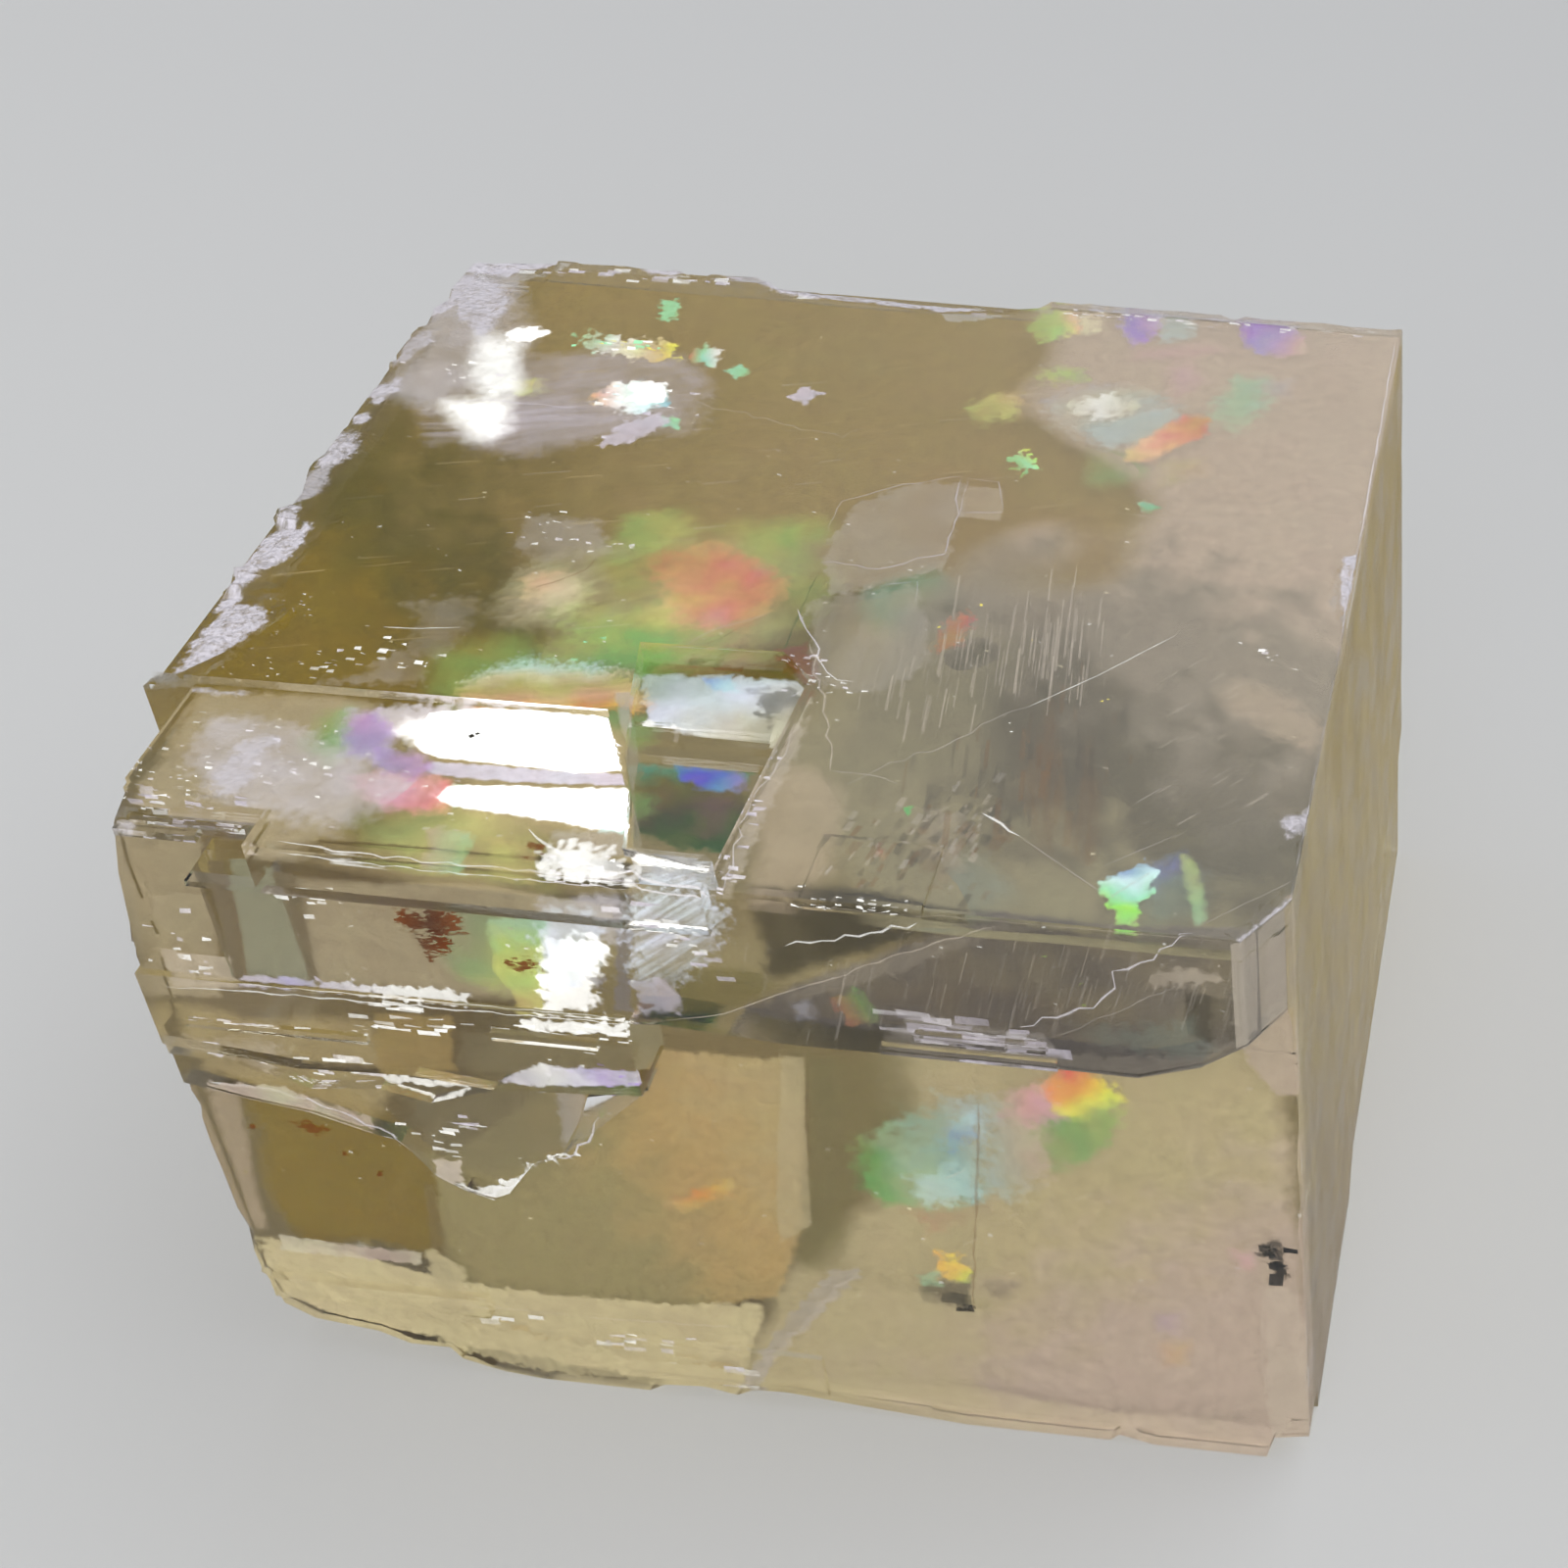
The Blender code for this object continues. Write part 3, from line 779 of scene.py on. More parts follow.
def lay_glints(planes, look, index):
    """Adds small flats with sides along the face's two axes, or along the way they are given."""
    rng = random.Random(index * 17 + 3)
    (x1, y1), (x2, y2) = look["points"]
    cx, cy = math.cos(math.radians(look["way"])), math.sin(math.radians(look["way"]))
    for _ in range(int(look["count"])):
        part = rng.random()
        x = x1 + (x2 - x1) * part + rng.gauss(0, 0.5) * look["spread"]
        y = y1 + (y2 - y1) * part + rng.gauss(0, 0.5) * look["spread"]
        long = look["size"] * rng.uniform(0.3, 1.3)
        short = long * look["slim"] * rng.uniform(0.4, 1.4)
        lean = rng.uniform(-0.4, 0.4) * short
        tint = paint(rng.choice(look["tints"]))
        cover = look["cover"] * rng.uniform(0.35, 1.0)
        ring = []
        for a, b in ((-long, -short), (long, -short), (long + lean, short), (-long + lean, short)):
            spot = (x + (a * cx - b * cy) * 0.5, y + (a * cy + b * cx) * 0.5)
            deep = look["depth"] + rng.uniform(0.0, 0.25)
            point, _ = kept_inside(place(*FACES[look["face"]](*spot, deep)))
            grain = (*spot, index * GRAIN_STEP)
            finish = (look["glow"], 0.0, 0.0)
            ring.append(planes.vertex(point, tint, cover, CRISP_EDGE, finish, grain))
        planes.face(ring)


def make_piece(name, found, materials, jitter=0.0, slot="calcite"):
    """One piece with all the looks of a list, each laid in its own way."""
    planes = Planes(jitter)
    for index, look in enumerate(found):
        look["lay"](planes, look, index + 1)
    return planes.build(name, materials, slot)


# ---------------------------------------------------------------- what lies in the crystal

# The slab's front: a dark strip under its edge, which is painted shade of the ledge, two dark bars, and
# facets between them.
VEILS = looks(sheet, """
# The milky right of the top, the amber band behind it and the smoky middle.
top 1.6 milk_tan milk_tan milk_tan smoke_tan smoke_tan smoke_olive smoke_olive olive_tan | 32,81 -9,80
  -12,37 -6,-8 18,-10 26,-6 35,9 34,22 27,30 19,33 17,38 25,47 | cover .9 soft 8 mist .05
  run 1.7,44.3 19.3,1.8
top 4.2 amber olive khaki_olive khaki khaki | 77,4 83,33 84,52 76,77 60,82 30,81 16,50 8,45 7,25 16,22
  31,20 48,28 52,25 57,12 65,7 | cover .9 soft 7 run 68.5,18.6 46.6,48.2
top 1.1 smoke | 24,23 18,25 14,18 14,11 19,8 23,13 | cover .4 soft 3.5 mist .3
top 1.4 olive_tan | 34,21 25,25 20,11 22,-1 28,-2 33,9 | cover .6 soft 5 mist .2
top 2 brown_amber | 34,40 23,39 17,35 18,29 28,30 35,35 | cover .24 soft 5 mist .2
top 1.5 smoke_tan | 12,19 4,17 1,5 6,1 10,7 | cover .35 soft 4 ragged 1 mist .6 streak .3 fine 2
  grain 109
top 1.4 tan | 6.5,19.5 4,19.2 0.7,16.2 0.9,14.1 4.1,15.7 6.2,17.4 | cover .45 soft 2 ragged .6
top 1.2 brown | 18.9,10.8 18.9,17.2 16.8,11.1 15.4,2.7 16.3,1.6 | cover .45 soft 1 streak .7 fine 2
  mist .3 grain -103
top 1.2 brown | 15.8,11.3 15.6,14.2 13.8,8.3 13.2,2.3 14.2,2.9 | cover .4 soft 1 streak .7 fine 2
  mist .3 grain -101
top 1 brown frost_tan | 25.4,5.3 21.7,5.2 19.7,0.4 21.5,-1.5 24.4,0.5 | cover .45 soft .8 ragged 1.2
  mist .9 run 24,-0.2 21.4,5.3
# Amber and olive on the left of the top.
top 3.8 olive | 49,19 42,20 39,25 37,25 36,17 50,14 | cover .7 soft 4
# Whitish fractures: in the far corner, round the bright spots, beside the pit and behind it.
top 1 frost | 79,58 76,63 72,60 69,52 71,47 73,43 76,45 | cover .55 soft 3 ragged .6 mist .5
top 1.1 lilac | 74,51 64,53 55,50 53,43 59,40 68,38 | soft 3 ragged .8 streak .35 mist .5 grain 157
top .9 lilac | 73,42.3 67.2,45.2 59.6,45.6 54.1,45.1 59.1,42.1 70.7,38.6 | cover .35 soft 1.4 streak .9
  grain 168
top 2.2 grey_veil | 65.5,21.4 63.5,22.6 61.3,23.1 59.7,21.5 60.1,18.4 60.9,15.8 62.9,16.3 63.8,19.4 |
  cover .45 soft 1.5 ragged .8 mist .6
top 1.4 grey_veil | 68,11.9 65.8,13.1 64.1,15.6 62.9,16.2 60.7,14.5 60.2,12.5 63.5,12.1 | cover .4
  soft .8 ragged .8 mist .7
top 1 grey_veil | 60.3,30.6 55.4,30.8 53.9,28.2 57.3,27.3 59.6,27.9 | cover .45 soft 1.5 ragged .8
  mist .6
top .9 grey_veil | 38.3,31.2 37.6,35.7 34.6,38.3 30.1,39.3 29.5,35.4 29.3,29.1 33,26.9 36.4,25.3 |
  cover .36 ragged .6 mist .3
top 1.1 grey_veil | 37.8,24 36.1,25.3 30.6,27.2 29.1,24.1 28.5,17.9 31.2,15.5 35,17 | cover .3 soft .8
  ragged .8 streak .4 grain -93
top 1 frost_tan | 30.2,39.1 27.3,39.2 26.7,35.3 29.6,35.4 | cover .35 soft .3 ragged .2 mist .3
top .8 frost_tan | 35.1,11.5 34,12.7 34.2,5.5 33.9,-4.1 35.2,-4.3 35.5,0.9 | cover .55 soft .6 ragged .5
  streak .5 grain -90
top 1.3 tan | 35.4,5.4 33.7,8.4 30.1,7 28.5,-0.8 30.6,-4 33.6,-4.1 | cover .45 soft 2 mist .4
# The ledge: hazy on the left, olive under its bright fracture.
plate 1.8 honey | 73.8,8.4 44.9,9.2 39.5,-3.3 47.4,-4.4 58.7,-3.8 69.1,-0.3 | cover .45 soft 2 mist .2
plate 1.3 panel_tan | 73.4,8.8 62,9.2 59,1 60.9,-4.5 71.4,-3.3 73.7,0 | cover .75 soft 1.5 ragged .5
  mist .15 glow .08
plate .7 frost | 71.8,6.5 65.8,6.1 57.2,1.3 59,-1.8 67.6,-0.3 70.9,2.9 | cover .6 soft 2.4 ragged .9
  mist .5
plate .9 frost_tan | 70.3,4.8 67.4,4.3 61.8,1.6 63.3,0.8 67.2,2.2 | cover .6 soft .7 ragged .5 streak .4
  grain -149
plate .6 facet | 65.6,-7.3 65.8,-4.4 64.2,-4 61.3,-6.9 | cover .9 soft .3 ragged .1
plate .8 white grey_veil | 59,-4.4 57.1,-4.5 54.3,-5.3 57.9,-5.6 | cover .6 ragged .4
# The slab's front: a dark strip under its edge, two dark bars, and facets between them.
slab 1 brown_olive slab_dark | 62.8,0.7 40.3,-0.2 41.3,2.2 51.9,1.8 63.2,2.5 | cover .85 soft .4
  ragged .2 run 62.7,1.1 40.6,0.4
slab .8 bar | 68.1,2.2 66.8,2 68.2,11.7 68.9,11.8 | cover .85 soft .25 ragged .1
slab .8 bar | 63.6,1.9 62.1,1.9 63,11.2 63.8,11.3 | cover .85 soft .25 ragged .1
slab 1.2 mint_tan | 66.8,2.2 63.6,2 63.8,11.2 68.1,11.5 | cover .75 soft .4 ragged .1
slab .5 facet | 73.1,8.7 68.7,9.4 68.6,11.8 73,12.3 | cover .6 soft .4 mist .3
break .5 panel_tan | 75,2.7 69.5,2.4 71.7,14.5 75.2,14.9 75.8,11.4 | cover .85 mist .1 glow .06
slab 1.6 panel_tan | 72.6,0 67.5,-0.2 70.2,11.3 73.5,8.5 | cover .7 soft .6
slab 1.6 panel_tan | 62.6,2.6 45.6,1.5 47.7,11.3 56.2,11.8 63.5,11.3 | cover .75 soft 1 ragged .2
  mist .15 glow .08
slab 1.1 grey_violet | 40.5,1.1 41.7,1.3 43.8,11.3 42.5,11.1 | cover .7 soft .4
# Grey violet on the right of the slab, dark olive left of the diagonal.
slab 1 slab_violet slab_violet slab_grey | 32.5,8.1 23.9,3.7 17.7,0.9 2.9,0.2 0.5,-0.3 -0.3,8.5 6.4,10.6
  15.9,11.4 25.8,10.2 36,10.3 | cover .85 soft .9 mist .25 run 25.3,5.8 0.6,2.8
slab .75 smoke_tan | 35.9,10 18,0.9 16.8,1.1 23.3,4.8 32,9.1 | soft .7 ragged .4 mist .2
slab .7 haze_teal | 13.7,8.1 6.3,7.3 5.8,9.8 12.1,10.8 | cover .35 soft 1.6 ragged .8 mist .3
slab .6 facet | 8.5,3.7 5.7,2.8 3.6,3 4.9,4 8,4.6 | cover .45 ragged 1 mist .5
slab .35 milk_grey | 2.8,0.2 -0.1,-1.2 -0.5,5.7 1,7.9 3.1,8.5 3.2,3.8 | cover .8 soft .6 ragged .5
  mist .15
corner .4 milk_grey | -0.3,0.3 3.3,0.2 3.4,8.6 1.6,8.9 -0.3,8.4 | cover .85 soft .35 mist .1
slab 1.3 slab_dark deep_smoke | 34.1,0.5 17.1,1 23.9,3.7 32.5,8.1 34.2,7.3 33.5,5.6 | cover .93 soft 1.2
  ragged .4 mist .15 run 31.1,3.4 18.6,1.5
slab 1.5 olive smoke | 40.6,7.7 34.2,6.9 32.5,8.1 36,10 39.9,10.8 | cover .6 soft 1 mist .3
slab .6 deep_smoke | 6.3,5 4.8,5 5.1,8.6 6.3,8.3 | cover .75 soft .3
slab .6 deep_smoke | 4.8,5 2.9,5 3.1,8.4 5.1,8.5 | soft .3 streak .6 fine 2 grain 87
slab .6 haze_blue | 31.9,8.7 30.4,7.8 29.7,9.5 31.5,10.5 | cover .4 soft .9 ragged .5
slab .6 grey_veil | 23.8,8.9 15.7,9.5 15.1,10.7 19.6,10.8 24.6,10.3 | soft .6 ragged .6 streak .6
slab .5 slab_grey | 25.8,9.8 15.8,10.8 6.4,10.1 3.1,8.2 -0.3,7.4 -0.3,10.5 6.5,12.4 16.1,13.3 26.1,12.1
  | cover .7 ragged .4 mist .2
front .8 milk_tan | 3.4,4.3 0.1,0.7 -1,16.2 1.6,17 3.4,14.2 | cover .8
# The layers under the slab.
middle .7 amber_tan | 60,13.6 54.9,13.1 56,17.9 61.2,18.5 | cover .65
middle .7 olive_grey honey | 55,13.9 43.5,14.5 43.8,16.2 50.8,17.9 56,17.8 | soft .8 streak .2
block .6 bar | 42.3,11 40.3,10.9 40.4,12.9 42.1,16.8 42.1,14.8 43.1,14.5 | cover .6 soft .4
lobe .8 honey olive_grey | 74.7,15.4 61.3,15.4 62.4,22.4 64.1,26.2 69.1,24.2 75.5,22.4 | soft 1.2
  ragged .4 mist .2
lobe .5 facet | 74.7,17.8 68.3,17.8 68.6,19.6 74.7,19.8 | soft .8 ragged .7 mist .7
lobe 1.2 olive_grey | 61.6,21.9 50.3,20 50.3,26.2 56.8,30.3 61.2,28.6 | soft 1.5 ragged .5
lobe -.02 facet | 60.2,27.7 58.1,27.6 58.5,29.9 60.5,30.2 | cover .85 soft .25 ragged .4
lobe .6 grey_veil | 50.3,20.3 48.1,20.4 49.4,26.1 50.8,26.8 | cover .55
# The lower front: an amber corner, a peach panel, a dark column and the pale right.
front 2.8 pale_honey pale_honey milk_pink milk_pink | 27.8,17 0.9,12.7 -0.6,52 20.6,54.3 44.4,52
  39.7,41.3 31.1,31.3 | cover .86 soft 2 ragged .4 run 21.7,21.8 1.8,45.9
front 2.4 amber | 75.4,24.8 68.1,24.5 61.4,30.1 63.7,40.8 75.1,42.3 76.7,36.3 | cover .8 soft 1.6
  ragged .4
front 1.4 tan | 77.6,26 74.8,26.5 77,39.9 78.2,40.1 | soft .8
front 2 honey_green honey_green peach_honey honey | 62.2,30.9 51.6,22.4 43.9,19 33.7,18.6 36,34.1
  37.5,37 39,42.1 46,44.5 63.8,45.1 64.7,42 | cover .86 soft .6 run 60.4,36.4 34.8,26.3
front 1.9 dark_column | 33.8,18.2 27.1,16.9 28.6,25.4 30.7,31.3 35.5,37.7 36.7,38.3 34.8,28.1 |
  cover .75 soft 2.4 ragged .6 mist .1
front 1.7 pale_honey | 35.4,18.2 33.6,18.3 35.8,34.1 38.1,36.1 36.9,26.5 | soft .3 ragged .1
front 1.8 dark_column | 33.5,18.3 31.2,17.8 33,27.8 35.4,36.7 36.9,38.3 34.8,28.1 | cover .8 ragged .2
  mist .1
front 3 olive | 15,24 6,23 5,28 14,30 | cover .4 soft 4 mist .3
front 2.6 haze_green | 51.6,35.1 39.3,34.6 37.7,38.1 52.5,39.8 | cover .4 soft 2 mist .3
front .9 bar | 63.8,33.4 62.4,33.2 63.4,45.2 65.1,48.4 64.9,43.4 | cover .4 ragged .2
front 1 foot_honey | 77.5,40.6 71.2,41.4 63.5,43.6 64.9,49.4 71,49.3 77.2,46.9 78.5,44 | cover .9
  mist .1 glow .08
front 1 foot_honey | 63.5,43.6 54.4,43.7 40.5,42.7 43.4,51.3 48.1,51.5 65.1,50.4 | cover .85 ragged .4
  mist .15 glow .1
front 1.5 pale_honey milk_pink | 57.5,49.7 24.6,49.5 0.1,49.9 0.1,53.2 20.6,54.3 44.4,52 57.9,51.4 |
  cover .85 soft .7 run 42.5,49.6 0.1,49.9
front .8 pale_honey | 41.6,44.4 38.2,41.1 32.1,39.2 23.7,40.5 24,50.5 35.2,51.1 42.7,51 | cover .45
  soft 2 ragged .5 mist .2
front -.02 foot_honey cream | 77.9,40.8 75.2,42.5 65.6,49.6 57.9,51.4 43.4,51.8 42.6,48.6 52.7,48
  63.7,47 70.1,45.8 76,42.8 77.2,39.6 | cover .7 ragged .8 mist .2 streak .3 grain 103
front .6 foot_honey | 64.5,39.9 62.4,41.6 64.3,50.8 65.8,50 65.7,46.2 | cover .7 soft .6 ragged .4
front .8 grey_veil | 34.4,37.5 32.4,37.2 32.4,38.3 38.9,45.9 41.6,51 43.5,51.3 40.4,46.1 | cover .6
  soft .4 ragged .5 mist .3
front .5 facet | 3.1,34.6 0.6,34.2 -0.6,42.4 -0.3,49.4 2.7,51.4 3.1,43 | cover .45 soft .4 mist .2
# A thin brownish film on the right face, in soft bands down it.
right -.03 film_brown film_tan milk_tan | -3.8,-0.2 64.6,-0.2 64.6,52.6 -0.4,52.6 -0.4,12 -3.8,12 |
  mist .5 run 49,-2 5.1,48.9
right -.05 brown_olive olive_tan | -3.8,-0.2 64.6,-0.2 64.6,52.6 -0.4,52.6 -0.4,12 -3.8,12 | cover .14
  soft .6 mist .5 streak .7 fine .25 grain 79 run 0,0 64,52
""", cover=0.5, soft=0.5)
